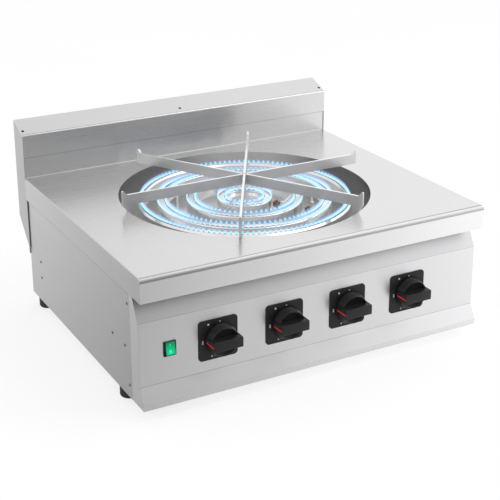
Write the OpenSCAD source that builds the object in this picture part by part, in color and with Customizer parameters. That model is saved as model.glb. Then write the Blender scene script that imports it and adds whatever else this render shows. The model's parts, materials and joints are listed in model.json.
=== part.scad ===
// Free-standing gas boiling top with one large cooking place.
// Four concentric ring burners sit in a round well under a six-armed pot support.
// Each ring has its own tap in the folded front console.
// Millimetres, +Z up, X across the front, +Y towards the back, origin on the floor under the middle.

/* [Body] */
// Width over the worktop
body_w = 800; // [780:1:840]
// Depth of the worktop from its front edge to the splash face
top_d = 647; // [644:1:700]
// Height from the underside of the body to the worktop
body_h = 279.5; // [277:0.5:300]
// Depth of the folded skirt round the worktop
skirt_h = 51; // [47:1:57]
// Thickness of the steel sheet
sheet_t = 1.5; // [1.2:0.1:1.8]
// Radius of the bullnose on the worktop's front edge
nose_r = 10; // [8:0.5:14]
// Radius of the worktop's side edges
side_r = 3; // [2.5:0.5:6]
// How far the side panels stand in from the skirt
panel_inset = 2.5; // [2:0.1:5]
// Gap left open at the seams between folded sheets
seam_gap = 0.3; // [0.2:0.05:0.6]

/* [Flue box] */
// Depth of the box behind the splash face
flue_d = 59; // [54:1:70]
// Height of the splash face above the worktop
flue_face_h = 102.5; // [90:0.5:120]
// Rise of the sloping lid from front to back
flue_rise = 22; // [10:0.5:30]
// Height of the seam under the lid sheet
flue_seam_h = 49; // [40:1:55]
// Overlap of the worktop upstand behind the lid sheet
upstand_lap = 11; // [6:1:20]
// Radius of the lid's front lip
flue_lip_r = 5.5; // [4:0.5:8]
// Depth of the rear wall below the worktop
flue_drop = 106; // [90:1:120]
// Height of the slanted sheet under the box
flue_slant_h = 62; // [54:1:70]
// Diameter of the three holes in the lid
lid_hole_d = 6.5; // [5:0.5:8]
// Distance of the lid holes behind the splash face
lid_hole_y = 15; // [12:0.5:20]
// Distance of the outer lid holes from the ends
lid_hole_edge = 7; // [6:0.5:12]

/* [Console] */
// Set-back of the console under the worktop's skirt
console_set_back = 48; // [44:0.5:49]
// Set-back of the upright console face
console_face_y = 22; // [20:0.5:26]
// Height of the console's upper slope
console_slope_h = 50.5; // [42:0.5:58]
// Depth of the upright face's lower edge below the worktop
console_face_low = 235.5; // [228:0.5:241]
// Set-back of the console's foot
console_foot_y = 4.5; // [3:0.5:8]
// Height of the lip at the console's foot
console_lip_h = 11.8; // [8:0.2:16]
// Distance of the console's end seam behind the worktop's front edge
console_seam_y = 60; // [57:0.5:64]

/* [Burner] */
// Diameter of the opening in the worktop
opening_d = 555.8; // [550:0.2:566]
// Distance of the opening's centre behind the worktop's front edge
burner_y = 335; // [325:1:345]
// Depth of the well below the worktop
well_depth = 75.5; // [70:0.5:90]
// Depth of the turned-down collar round the opening
collar_h = 14; // [10:0.5:20]
// Depth of the ring tops below the worktop
ring_drop = 12; // [8:0.5:16]
// Height of each ring channel
ring_h = 30; // [26:1:34]
// Wall of the ring channels
ring_wall = 2.5; // [2:0.25:3.5]
// Chamfer along the ring tops
ring_chamfer = 4; // [3:0.5:5]
// Inner radius of the first ring
ring1_ri = 41; // [38:0.5:43]
// Inner radius of the second ring
ring2_ri = 109; // [104:0.5:113]
// Inner radius of the third ring
ring3_ri = 174; // [170:0.5:178]
// Inner radius of the fourth ring
ring4_ri = 220; // [216:0.5:223]
// Width of each ring channel
ring_w = 20; // [18:0.5:22]
// Diameter of the mixing tubes
tube_d = 26; // [22:1:28]

/* [Pot support] */
// Thickness of the support bars
bar_t = 5; // [4:0.5:6]
// Height of the bars' top above the worktop
bar_top = 39; // [34:1:44]
// Height of the bars' section
bar_h = 23; // [18:1:26]
// Reach of the arms past the opening's edge
arm_over = 13.6; // [11.6:0.2:18]
// Height of the horns above the bars
horn_h = 9; // [4:0.5:12]
// Diameter of the hole at the crossing
cross_hole_d = 3; // [2:0.25:3.5]

/* [Knobs] */
// Distance between neighbouring knobs
knob_pitch = 150; // [140:1:156]
// Depth of the knob axes below the worktop
knob_drop = 169; // [167:0.5:173]
// Diameter of the knob's skirt at its back
knob_d = 68; // [60:0.5:72]
// Height of the knob from back to front
knob_depth = 33.2; // [30:0.2:38]
// Thickness of the finger bar
grip_t = 21; // [16:0.5:24]
// Free space behind the knob, which lets it be pushed
knob_gap = 4.3; // [4:0.1:6]
// Push travel of the knob
knob_push = 3.5; // [2:0.1:3.6]
// Side of the square plate behind each knob
plate_w = 86; // [80:1:90]
// Thickness of the knob plates
plate_t = 2; // [1:0.25:3]
// Corner radius of the knob plates
plate_r = 8; // [4:0.5:12]
// How far the plates stand to the left of the knob axes
plate_shift = 4; // [0:0.5:6]
// Diameter of the tap's spindle
stem_d = 8; // [6:0.5:10]

/* [Switch] */
// Distance of the switch from the middle
switch_x = 333; // [325:1:340]
// Depth of the switch below the worktop
switch_drop = 166; // [159:0.5:174]
// Width of the switch bezel
switch_w = 26.5; // [25:0.5:30]
// Height of the switch bezel
switch_h = 31; // [30:0.5:36]
// Half of the rocker's travel in degrees
rocker_half = 7; // [4:0.5:8]

/* [Feet] */
// Height of the feet
foot_h = 25; // [20:1:40]
// Diameter of the feet
foot_d = 40; // [30:1:44]
// Distance of the foot centres from the body's sides
foot_edge = 23; // [22.5:0.5:30]
// Distance of the front feet behind the worktop's front edge
foot_front_y = 124; // [110:1:150]
// Distance of the rear feet before the splash face
foot_rear_gap = 42; // [36:1:60]

/* [Gas and mains inlets] */
// Outside diameter of the gas inlet's male thread
inlet_d = 20.96; // [20.9:0.02:21.1]
// Length of the gas inlet's thread
inlet_thread = 15; // [12:0.5:20]
// Distance of the gas inlet from the middle
inlet_x = 340; // [330:1:345]
// Depth of the gas rail below the worktop
rail_drop = 214; // [211:0.5:221]
// Bore of the mains cable gland
gland_bore = 9; // [7:0.5:11]
// Distance of the cable gland from the middle
gland_x = 250; // [230:1:300]

/* [Hidden] */
$fn = 96;

// Main levels and faces
top_z = foot_h + body_h;
base_z = foot_h;
panel_top_z = top_z - sheet_t - seam_gap;
console_head_z = panel_top_z - sheet_t;
half_w = body_w / 2;
panel_x = half_w - panel_inset;
panel_in_x = panel_x - sheet_t;
total_d = top_d + flue_d;
axis_z = top_z - knob_drop;
plate_y = console_face_y - plate_t;
knob_back_y = plate_y - knob_gap;
knob_front_y = knob_back_y - knob_depth;
y_origin = (total_d + knob_front_y) / 2;
skip = 1;

// Flue lid: slope angle, lip centre and levels
slope = atan2(flue_rise, flue_d);
lip_y = top_d + flue_lip_r;
lip_z = top_z + flue_face_h + tan(slope) * flue_lip_r - flue_lip_r / cos(slope);
flue_top_z = top_z + flue_face_h + flue_rise;
flue_seam_z = top_z + flue_seam_h;
flue_low_z = top_z - flue_drop;
slant_low_z = flue_low_z - flue_slant_h;
lap = 15;
plate_lap = 3;

// Console profile levels
console_top_z = top_z - skirt_h;
console_bend_z = console_top_z - console_slope_h;
console_low_z = top_z - console_face_low;
console_lip_z = base_z + console_lip_h;
console_flange_y = console_seam_y - seam_gap;
lip_lean = 1.5;
tab_front = console_seam_y - 5;
tab_back = console_seam_y + 18;
tab_low_z = base_z + 14.5;
tab_high_z = console_top_z - 7;

// Burner levels and radii
opening_r = opening_d / 2;
well_clear = 4.5;
well_r = opening_r + well_clear + sheet_t;
well_low_z = top_z - well_depth;
tray_low_z = well_low_z - sheet_t;
tray_lip_h = 10;
tray_r = well_r + seam_gap + sheet_t;
ring_top_z = top_z - ring_drop;
ring_low_z = ring_top_z - ring_h;
ring_ri = [ring1_ri, ring2_ri, ring3_ri, ring4_ri];
boss_r = tube_d / 2 + 3;
boss_h = 8;
stud_r = 4;
stud_start = [60, 60, 30, 60];
stud_count = 4;
frame_rail_w = 30;
frame_rail_h = 15;
frame_front_dy = -130;
frame_rear_dy = 150;
frame_tab_h = 25;
cup_w = 9;
cup_t = 3;
cup_drop = 11;

// Gas train: the taps' axes at the console and the tubes' mouths
knob_x = [for (i = [0:3]) (i - 1.5) * knob_pitch];
tube_r = tube_d / 2;
tube_wall = 1.5;
riser_land = 1;
riser_bore = min(tube_r - tube_wall, ring_w / 2 - ring_wall - riser_land);
bend_r = 24;
tube_mouth_y = 96;
riser_1_x = 45;
riser_span = 0.985;
panel_back_y = console_face_y + sheet_t;
valve_boss_r = 9;
valve_front_y = panel_back_y + 10;
valve_r = 16;
valve_len = 42;
valve_back_y = valve_front_y + valve_len;
stem_r = stem_d / 2;
stem_front_y = knob_front_y + 10;
stem_back_y = valve_front_y + 12;
push_disc_t = 3;
push_disc_r = 6.5;
push_tail_r = 2;
push_tail_len = 14;
chamber_r = 7;
chamber_end = stem_back_y + push_disc_t + knob_push + 2;
manifold_r = 10.7;
manifold_bore_r = 8;
manifold_y = valve_front_y + 27;
manifold_z = top_z - rail_drop;
manifold_end = 30;
valve_leg_r = 8;
injector_r = 6;
nozzle_r = 3.5;
jet_r = 1.1;
injector_len = 8;
nozzle_len = tube_mouth_y + 4 - valve_back_y - injector_len;
bracket_set_back = 22;
bracket_w = 78;
bracket_front = console_seam_y + bracket_set_back;
bracket_back = bracket_front + bracket_w;
bracket_top_z = axis_z - tube_r - seam_gap;
bracket_tab_h = 26;
bracket_screw_front = 7;
bracket_screw_back = 8;
bracket_screw_h = 9;
inlet_r = inlet_d / 2;
inlet_bore_r = 7.5;
inlet_hex_r = 15;
inlet_hex_len = 12;
inlet_back_y = top_d + inlet_hex_len + inlet_thread;

// Feet
foot_r = foot_d / 2;
foot_x = panel_x - foot_edge + panel_inset;
foot_rear_y = top_d - foot_rear_gap;
foot_bolt_r = 3;
foot_bolt_clear = 0.2;
foot_well_r = 8;
foot_well_h = 12;
foot_head_r = 6;
foot_head_h = 4;
foot_edge_r = 6;
base_flange_w = foot_edge + foot_r + 5;
base_top_z = base_z + 2 * sheet_t;
nut_r = 6;
nut_h = 5;

// Switch
rocker_clear = 0.3;
rocker_hw = switch_w / 2 - 2.6;
rocker_hh = switch_h / 2 - 2.6;
rocker_pivot_y = console_face_y + 5;
rocker_reach = 7.6;
rocker_back = 3;
bezel_t = 2;
switch_body_len = 24;
switch_pin_r = 1.5;
switch_pin_len = 0.7;

// Support bars: underside, horns, and the tongues that locate them in the opening
bar_low = bar_top - bar_h;
arm_len = opening_r + arm_over;
bar_fit = 0.2;
horn_w = 4.5;
horn_run = 7;
horn_ease = 1.2;
tongue_r = opening_r - 1.4;
tongue_w = 9.5;
tongue_drop = 12;
shoulder_r = opening_r + 4.1;

// Small screws
screw_r = 1.8;
screw_head_r = 3.2;
screw_head_h = 1.2;
screw_clear = 0.1;
screw_seat = 0.02;

// Pilot groups, as distances from the burner's centre
pilot_at = [[56, -45], [98, -112]];
thermo_from = [[62, -51], [118, -84]];
thermo_to = [[94, -41], [136, -62]];
spark_foot = [-76, -62];
spark_tip = [-41, -18];
ignition_top_z = ring_top_z + 3;

// Spark generator on the base panel, with its three terminals
generator_size = [46, 62, 28];
generator_edge = 93;
generator_set_back = 110;
terminal_start = 12;
terminal_pitch = 14;
terminal_h = 8;
terminal_r = 3;

// Moves the drawing frame, whose Y starts at the worktop's front edge, to the object's origin
module place() {
    translate([0, -y_origin, 0]) children();
}

// Extrudes a (y, z) outline along X between two stations
module along_x(x0, x1) {
    translate([x0, 0, 0]) rotate([90, 0, 90]) linear_extrude(height = x1 - x0) children();
}

// Box between two corners
module block(low, high) {
    translate(low) cube(high - low);
}

// Round bar or bore along Y
module rod_y(x, y0, y1, z, r) {
    translate([x, y0, z]) rotate([-90, 0, 0]) cylinder(h = y1 - y0, r = r);
}

// Round bar or bore along X
module rod_x(x0, x1, y, z, r) {
    translate([x0, y, z]) rotate([0, 90, 0]) cylinder(h = x1 - x0, r = r);
}

// Upright bar or bore
module post(x, y, z0, z1, r) {
    translate([x, y, z0]) cylinder(h = z1 - z0, r = r);
}

// Round bar between two points
module strut(a, b, r) {
    d = b - a;
    translate(a) rotate([0, atan2(norm([d[0], d[1]]), d[2]), atan2(d[1], d[0])])
        cylinder(h = norm(d), r = r, $fn = 24);
}

// Copies its children on both sides of the middle plane
module both_sides() {
    children();
    mirror([1, 0, 0]) children();
}

// Worktop block grown inwards by inset, with a bullnose front and softer side edges
module worktop_block(inset, low, depth) {
    front_r = nose_r - inset;
    edge_r = side_r - inset;
    high = top_z - inset;
    intersection() {
        along_x(-half_w, half_w) {
            translate([inset + front_r, low]) square([depth - inset - front_r, high - low]);
            translate([inset, low]) square([depth - inset, high - low - front_r]);
            translate([inset + front_r, high - front_r]) circle(r = front_r);
        }
        translate([0, depth, 0]) rotate([90, 0, 0]) linear_extrude(height = depth) {
            translate([-half_w + inset, low]) square([body_w - 2 * inset, high - low - edge_r]);
            translate([-half_w + inset + edge_r, low]) square([body_w - 2 * (inset + edge_r), high - low]);
            translate([-half_w + inset + edge_r, high - edge_r]) circle(r = edge_r);
            translate([half_w - inset - edge_r, high - edge_r]) circle(r = edge_r);
        }
    }
}

module worktop() {
    color("gainsboro") place() {
        difference() {
            union() {
                difference() {
                    worktop_block(0, top_z - skirt_h, top_d);
                    worktop_block(sheet_t, top_z - skirt_h - skip, top_d + skip);
                }
                translate([0, burner_y, top_z - collar_h]) cylinder(h = collar_h, r = opening_r + sheet_t);
            }
            translate([0, burner_y, top_z - collar_h - skip]) cylinder(h = collar_h + 2 * skip, r = opening_r);
        }
        block([-half_w + sheet_t, top_d - skip, top_z - sheet_t],
            [half_w - sheet_t, top_d + 2 * sheet_t, top_z]);
        block([-half_w + sheet_t, top_d + sheet_t, top_z - sheet_t],
            [half_w - sheet_t, top_d + 2 * sheet_t, flue_seam_z + upstand_lap]);
    }
}

// Outline of the flue lid, drawn in by inset
module lid_outline(inset) {
    r = flue_lip_r - inset;
    back = total_d + skip;
    back_z = flue_top_z + skip * tan(slope) - inset / cos(slope);
    polygon([[lip_y - r, flue_seam_z - skip], [lip_y - r, lip_z], [lip_y, lip_z],
        [lip_y - r * sin(slope), lip_z + r * cos(slope)], [back, back_z], [back, flue_seam_z - skip]]);
    translate([lip_y, lip_z]) circle(r = r);
}

module flue_cover() {
    hole_x = half_w - lid_hole_edge;
    hole_z = top_z + flue_face_h;
    color("silver") place() difference() {
        union() {
            along_x(-half_w, half_w) intersection() {
                difference() {
                    lid_outline(0);
                    lid_outline(sheet_t);
                }
                translate([top_d, flue_seam_z]) square([flue_d, flue_top_z]);
            }
            along_x(-half_w + sheet_t, half_w - sheet_t) intersection() {
                translate([total_d - 2 * sheet_t, flue_top_z - flue_rise]) square([sheet_t, flue_rise]);
                lid_outline(sheet_t / 2);
            }
        }
        for (x = [-hole_x, 0, hole_x])
            translate([x, top_d + lid_hole_y, hole_z - lap]) cylinder(h = 2 * lap, r = lid_hole_d / 2);
    }
}

// Outline of the flue box from the side, under the lid sheet
module flue_box_outline() {
    polygon([[top_d, slant_low_z], [top_d + sheet_t, slant_low_z], [total_d, flue_low_z],
        [total_d, flue_seam_z], [top_d, flue_seam_z]]);
    intersection() {
        lid_outline(sheet_t);
        translate([top_d, flue_seam_z - skip]) square([flue_d, flue_top_z]);
    }
}

module flue_box() {
    lean = atan2(flue_slant_h, flue_d - sheet_t);
    color("silver") place() difference() {
        flue_box_sheet(lean);
        for (p = rear_screw_at) rod_y(p[0], top_d - lap, top_d + lap, p[1], screw_r);
    }
}

module flue_box_sheet(lean) {
    union() {
        both_sides() along_x(half_w - sheet_t, half_w) {
            flue_box_outline();
            translate([top_d - plate_lap, slant_low_z])
                square([plate_lap + sheet_t, top_z - skirt_h - seam_gap - slant_low_z]);
        }
        along_x(-half_w, half_w) {
            intersection() {
                translate([total_d - sheet_t, flue_low_z]) square([sheet_t, flue_top_z]);
                flue_box_outline();
            }
            polygon([[top_d + sheet_t, slant_low_z], [total_d, flue_low_z],
                [total_d - sheet_t * sin(lean), flue_low_z + sheet_t * cos(lean)],
                [top_d + sheet_t - sheet_t * sin(lean), slant_low_z + sheet_t * cos(lean)]]);
            translate([top_d, slant_low_z - lap]) square([sheet_t, lap + sheet_t * cos(lean)]);
        }
    }
}

// Left panel: flat sheet with a flange under the body; holes for the side screws
module side_panel() {
    difference() {
        union() {
            block([-panel_x, console_seam_y, base_z], [-panel_in_x, top_d, panel_top_z]);
            block([-panel_x, console_seam_y, base_z], [-panel_x + base_flange_w, top_d, base_z + sheet_t]);
        }
        for (p = side_screw_at) rod_x(-panel_x - skip, -panel_in_x + skip, p[0], p[1], screw_r);
        for (y = [foot_front_y, foot_rear_y])
            post(-foot_x, y, base_z - skip, base_top_z, foot_bolt_r + foot_bolt_clear);
    }
}

module left_side_panel() {
    color("silver") place() side_panel();
}

module right_side_panel() {
    color("silver") place() mirror([1, 0, 0]) side_panel();
}

// Side screws: console tabs, tube bracket and rear panel flanges, as (y, z)
console_screw_y = console_seam_y + 11;
bracket_screw_y = [bracket_front + bracket_screw_front, bracket_back - bracket_screw_back];
bracket_screw_z = bracket_top_z + bracket_screw_h;
rear_flange_w = 80;
rear_flange_y = top_d - rear_flange_w;
rear_screw_in = 10;
rear_screw_y = rear_flange_y + rear_screw_in;
rear_flange_lift = 2;
rear_screw_high = 12;
rear_screw_low = 51;
rear_screw_z = [slant_low_z - rear_screw_high, slant_low_z - rear_screw_low];
side_screw_at = concat([[console_screw_y, tab_high_z - 19], [console_screw_y, tab_low_z + 13]],
    [for (y = bracket_screw_y) [y, bracket_screw_z]], [for (z = rear_screw_z) [rear_screw_y, z]]);

// Outer face of the console from top to foot, as (y, z)
console_path = [[console_set_back, console_head_z], [console_set_back, console_top_z],
    [console_face_y, console_bend_z], [console_face_y, console_low_z], [console_foot_y, console_lip_z],
    [console_foot_y + lip_lean, base_z]];

// The same path set back by the sheet
module console_region(back_y, shift) {
    polygon(concat([for (p = console_path) [p[0] + shift, p[1] + (p[1] == base_z ? shift : 0)]],
        [[back_y, base_z + shift], [back_y, console_head_z]]));
}

module front_console() {
    hole_hw = switch_w / 2 - 1.3;
    hole_hh = switch_h / 2 - 0.4;
    color("silver") place() difference() {
        union() {
            along_x(-panel_x, panel_x) difference() {
                console_region(console_flange_y, 0);
                console_region(console_flange_y + skip, sheet_t);
            }
            both_sides() {
                along_x(panel_in_x, panel_x) console_region(console_flange_y, 0);
                block([panel_in_x - sheet_t, tab_front, tab_low_z], [panel_in_x, tab_back, tab_high_z]);
            }
        }
        for (x = knob_x) rod_y(x, 0, panel_back_y + skip, axis_z, stem_r + 2);
        block([-switch_x - hole_hw, 0, switch_z() - hole_hh],
            [-switch_x + hole_hw, panel_back_y + skip, switch_z() + hole_hh]);
        for (s = [-1, 1]) translate([s * panel_in_x, 0, 0])
            for (z = [side_screw_at[0][1], side_screw_at[1][1]])
                rod_x(-2 * sheet_t, 2 * sheet_t, console_screw_y, z, screw_r);
    }
}

function switch_z() = top_z - switch_drop;

module rear_panel() {
    gland_z = manifold_z;
    color("silver") place() difference() {
        union() {
            block([-panel_in_x, top_d - sheet_t, base_z + sheet_t], [panel_in_x, top_d, slant_low_z]);
            both_sides() block([panel_in_x - sheet_t, rear_flange_y, base_top_z + rear_flange_lift],
                [panel_in_x, top_d - sheet_t / 2, slant_low_z]);
        }
        rod_y(inlet_x, top_d - lap, top_d + lap, manifold_z, inlet_r + seam_gap);
        rod_y(-gland_x, top_d - lap, top_d + lap, gland_z, gland_bore / 2 + 3.5);
        for (p = rear_screw_at) rod_y(p[0], top_d - lap, top_d + lap, p[1], screw_r);
        for (s = [-1, 1], z = rear_screw_z)
            rod_x(s * panel_in_x - 2 * sheet_t, s * panel_in_x + 2 * sheet_t, rear_screw_y, z, screw_r);
    }
}

// Screws that hold the flue box's flange to the rear panel, as (x, z)
rear_screw_count = 5;
rear_screw_at = [for (i = [0:rear_screw_count - 1])
    [(i - (rear_screw_count - 1) / 2) * body_w / (rear_screw_count + 0.5), slant_low_z - lap / 2]];

module base_panel() {
    slot_count = 9;
    slot_w = 8;
    slot_len = 120;
    color("lightgray") place() difference() {
        block([-panel_in_x + 2 * sheet_t, console_foot_y + 12, base_z + sheet_t],
            [panel_in_x - 2 * sheet_t, top_d - sheet_t, base_top_z]);
        for (s = [-1, 1], y = [foot_front_y, foot_rear_y])
            post(s * foot_x, y, base_z, base_top_z + skip, foot_bolt_r + foot_bolt_clear);
        for (s = [-1, 1], i = [0:slot_count - 1])
            translate([s * body_w / 5, burner_y + (i - (slot_count - 1) / 2) * 3 * slot_w, base_z]) {
                translate([-slot_len / 2, -slot_w / 2, 0]) cube([slot_len, slot_w, 3 * sheet_t]);
            }
    }
}

// Cylindrical wall of the well with a flange under the worktop
module burner_well() {
    flange_w = 10;
    color("dimgray") place() translate([0, burner_y, 0]) difference() {
        union() {
            translate([0, 0, well_low_z]) cylinder(h = well_depth - sheet_t, r = well_r);
            translate([0, 0, top_z - 2 * sheet_t]) cylinder(h = sheet_t, r = well_r + flange_w);
        }
        translate([0, 0, well_low_z - skip]) cylinder(h = well_depth + skip, r = well_r - sheet_t);
    }
}

module spill_tray() {
    color("lightgray") place() translate([0, burner_y, 0]) difference() {
        translate([0, 0, tray_low_z]) cylinder(h = sheet_t + tray_lip_h, r = tray_r);
        translate([0, 0, well_low_z]) cylinder(h = tray_lip_h + skip, r = tray_r - sheet_t);
        for (n = [1:4]) translate([riser_at(n)[0], riser_at(n)[1], tray_low_z - skip])
            cylinder(h = sheet_t + 2 * skip, r = tube_r + 0.5);
    }
}

// Two folded rails between the side panels carry the tray
module burner_frame() {
    color("lightgray") place() for (dy = [frame_front_dy, frame_rear_dy]) {
        y0 = burner_y + dy - frame_rail_w / 2;
        y1 = y0 + frame_rail_w;
        difference() {
            block([-panel_in_x, y0, tray_low_z - frame_rail_h], [panel_in_x, y1, tray_low_z]);
            block([-panel_in_x - skip, y0 + sheet_t, tray_low_z - frame_rail_h - skip],
                [panel_in_x + skip, y1 - sheet_t, tray_low_z - sheet_t]);
        }
        both_sides() block([panel_in_x - sheet_t, y0, tray_low_z - frame_tab_h],
            [panel_in_x, y1, tray_low_z]);
    }
}

function ring_mid(n) = ring_ri[n - 1] + ring_w / 2;

// How far to the side each ring's feed rises: behind its own tap, as far as its ring reaches
function riser_x(n) = n == 1 ? riser_1_x
    : sign(knob_x[4 - n]) * min(abs(knob_x[4 - n]), riser_span * ring_mid(n));

// Where each ring's feed rises, from the burner's centre
function riser_at(n) = [riser_x(n), (n == 1 ? 1 : -1) * leg(ring_mid(n), riser_x(n))];

// Third side of a right triangle, to a hundredth
function leg(long, short) = round(100 * sqrt(long * long - short * short)) / 100;

// Section of a ring channel, drawn in by inset
module ring_section(n, inset) {
    c = ring_chamfer;
    r0 = ring_ri[n - 1] + inset;
    r1 = ring_ri[n - 1] + ring_w - inset;
    z0 = ring_low_z + inset;
    z1 = ring_top_z - inset;
    polygon([[r0, z0], [r1, z0], [r1, z1 - c], [r1 - c, z1], [r0 + c, z1], [r0, z1 - c]]);
}

module burner_ring(n) {
    at = riser_at(n);
    color("silver") place() translate([0, burner_y, 0]) {
        difference() {
            union() {
                rotate_extrude() ring_section(n, 0);
                if (n == 1) rotate_extrude() translate([ring1_ri - cup_w, ring_top_z - cup_drop - cup_t])
                    square([cup_w + ring_wall / 2, cup_t]);
            }
            rotate_extrude() ring_section(n, ring_wall);
            post(at[0], at[1], ring_low_z - skip, ring_low_z + ring_wall + skip, riser_bore);
        }
    }
}

// Short legs that hold the rings over the tray
module ring_studs() {
    color("silver") place() translate([0, burner_y, 0])
        for (n = [1:4], i = [0:stud_count - 1])
            rotate([0, 0, stud_start[n - 1] + i * 360 / stud_count])
                post(ring_mid(n), 0, well_low_z, ring_low_z, stud_r);
}

// A quarter bend of a tube's wall, from its own corner
module tube_bend() {
    rotate_extrude(angle = 90) translate([bend_r, 0]) difference() {
        circle(r = tube_r);
        circle(r = tube_r - tube_wall);
    }
}

// A mixing tube: its mouth behind the injector, one or two bends, and the riser with its boss under the ring
module mixing_tube(n) {
    at = riser_at(n);
    x0 = knob_x[4 - n];
    x1 = at[0];
    y1 = burner_y + at[1];
    bore = tube_r - tube_wall;
    color("darkgray") place() {
        if (n == 1) {
            difference() {
                rod_y(x0, tube_mouth_y, y1 - bend_r, axis_z, tube_r);
                rod_y(x0, tube_mouth_y - skip, y1 - bend_r + skip, axis_z, bore);
            }
            translate([x0 - bend_r, y1 - bend_r, axis_z]) tube_bend();
            difference() {
                rod_x(x1 + bend_r, x0 - bend_r, y1, axis_z, tube_r);
                rod_x(x1 + bend_r - skip, x0 - bend_r + skip, y1, axis_z, bore);
            }
            translate([x1 + bend_r, y1, axis_z + bend_r]) rotate([90, 0, 0]) rotate([0, 0, 180]) tube_bend();
        } else {
            translate([x1, y1, 0]) rotate([0, 0, atan2(x0 - x1, y1 - tube_mouth_y)]) {
                difference() {
                    rod_y(0, -norm([x0 - x1, y1 - tube_mouth_y]), -bend_r, axis_z, tube_r);
                    rod_y(0, -norm([x0 - x1, y1 - tube_mouth_y]) - skip, skip - bend_r, axis_z, bore);
                }
                translate([0, -bend_r, axis_z + bend_r]) rotate([0, 90, 0]) tube_bend();
            }
        }
        difference() {
            union() {
                post(x1, y1, axis_z + bend_r, ring_low_z, tube_r);
                post(x1, y1, ring_low_z - boss_h, ring_low_z, boss_r);
            }
            post(x1, y1, axis_z + bend_r - skip, ring_low_z - boss_h, bore);
            post(x1, y1, ring_low_z - boss_h - skip, ring_low_z + skip, riser_bore);
        }
    }
}

// Folded strip under the mouths of the mixing tubes, screwed to both side panels
module tube_bracket() {
    color("lightgray") place() difference() {
        union() {
            block([-panel_in_x, bracket_front, bracket_top_z - sheet_t],
                [panel_in_x, bracket_back, bracket_top_z]);
            both_sides() block([panel_in_x - sheet_t, bracket_front, bracket_top_z - sheet_t],
                [panel_in_x, bracket_back, bracket_top_z + bracket_tab_h]);
        }
        for (s = [-1, 1], y = bracket_screw_y)
            rod_x(s * panel_in_x - 2 * sheet_t, s * panel_in_x + 2 * sheet_t, y, bracket_screw_z, screw_r);
    }
}

module injectors() {
    color("goldenrod") place() for (x = knob_x) difference() {
        union() {
            rod_y(x, valve_back_y, valve_back_y + injector_len, axis_z, injector_r);
            rod_y(x, valve_back_y, valve_back_y + injector_len + nozzle_len, axis_z, nozzle_r);
        }
        rod_y(x, valve_back_y - skip, valve_back_y + injector_len + nozzle_len + skip, axis_z, jet_r);
    }
}

// Gas rail behind the console, turned back along the right side to the inlet
module gas_rail(r, over) {
    rod_x(knob_x[0] - manifold_end + over, inlet_x - bend_r, manifold_y, manifold_z, r);
    translate([inlet_x - bend_r, manifold_y + bend_r, manifold_z]) rotate([0, 0, -90])
        rotate_extrude(angle = 90) translate([bend_r, 0]) circle(r = r);
    rod_y(inlet_x, manifold_y + bend_r, top_d - 2 * lap + max(0, over), manifold_z, r);
}

module gas_manifold() {
    color("darkgray") place() difference() {
        gas_rail(manifold_r, 0);
        gas_rail(manifold_bore_r, 3);
        for (x = knob_x) post(x, manifold_y, manifold_z, manifold_z + 2 * manifold_r, 3);
    }
}

// Threaded inlet with a hexagon outside the rear panel
module gas_inlet() {
    color("goldenrod") place() difference() {
        union() {
            rod_y(inlet_x, top_d - 2 * lap, inlet_back_y, manifold_z, inlet_r);
            translate([inlet_x, top_d, manifold_z]) rotate([-90, 0, 0])
                cylinder(h = inlet_hex_len, r = inlet_hex_r, $fn = 6);
        }
        rod_y(inlet_x, top_d - 2 * lap - skip, inlet_back_y + skip, manifold_z, inlet_bore_r);
    }
}

// Tap: body, front boss, leg on the gas rail, and the chamber of the push rod
module valve(i) {
    x = knob_x[i];
    color("goldenrod") place() difference() {
        union() {
            rod_y(x, panel_back_y, valve_front_y, axis_z, valve_boss_r);
            rod_y(x, valve_front_y, valve_back_y, axis_z, valve_r);
            post(x, manifold_y, manifold_z, axis_z, valve_leg_r);
        }
        rod_y(x, panel_back_y - skip, stem_back_y + skip, axis_z, stem_r + 0.05);
        rod_y(x, stem_back_y - 1.5, chamber_end, axis_z, chamber_r);
        rod_y(x, chamber_end - skip, valve_back_y + skip, axis_z, push_tail_r + 0.5);
        rod_x(x - 2 * valve_r, x + 2 * valve_r, manifold_y, manifold_z, manifold_r);
    }
}

// Spindle with a flat for the knob
module valve_stem(i) {
    x = knob_x[i];
    flat_len = knob_depth - 14;
    color("gray") place() difference() {
        rod_y(x, stem_front_y, stem_back_y, axis_z, stem_r);
        block([x - stem_r, stem_front_y - skip, axis_z + stem_r * 0.6],
            [x + stem_r, stem_front_y + flat_len, axis_z + 2 * stem_r]);
    }
}

// Plunger between the spindle and the safety magnet
module push_rod(i) {
    x = knob_x[i];
    color("gray") place() {
        rod_y(x, stem_back_y, stem_back_y + push_disc_t, axis_z, push_disc_r);
        rod_y(x, stem_back_y + push_disc_t - skip, stem_back_y + push_tail_len, axis_z, push_tail_r);
    }
}

// Knob: dished skirt and a finger bar across it, pointing left
module knob(i) {
    r_back = knob_d / 2;
    r_rim = r_back - 4;
    rim_y = knob_depth - 14.5;
    dish_r = r_rim - 3;
    dish_floor = rim_y - 7;
    color("#202020") place() translate([knob_x[i], knob_back_y, axis_z]) rotate([90, 0, 0]) difference() {
        union() {
            difference() {
                cylinder(h = rim_y, r1 = r_back, r2 = r_rim);
                translate([0, 0, dish_floor]) cylinder(h = rim_y, r1 = dish_r - 4, r2 = dish_r + 4);
            }
            translate([0, grip_t / 2, 0]) rotate([90, 0, 0]) linear_extrude(height = grip_t)
                polygon([[-r_back + 1, 0], [r_back - 1, 0], [r_back - 2, knob_depth],
                    [-r_rim - 1, knob_depth]]);
            cylinder(h = dish_floor + 2, r = r_rim - 8);
        }
        translate([0, 0, -skip]) difference() {
            cylinder(h = knob_depth - 10 + skip, r = stem_r);
            translate([-stem_r, stem_r * 0.6, 6]) cube([2 * stem_r, stem_r, knob_depth]);
        }
    }
}

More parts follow.
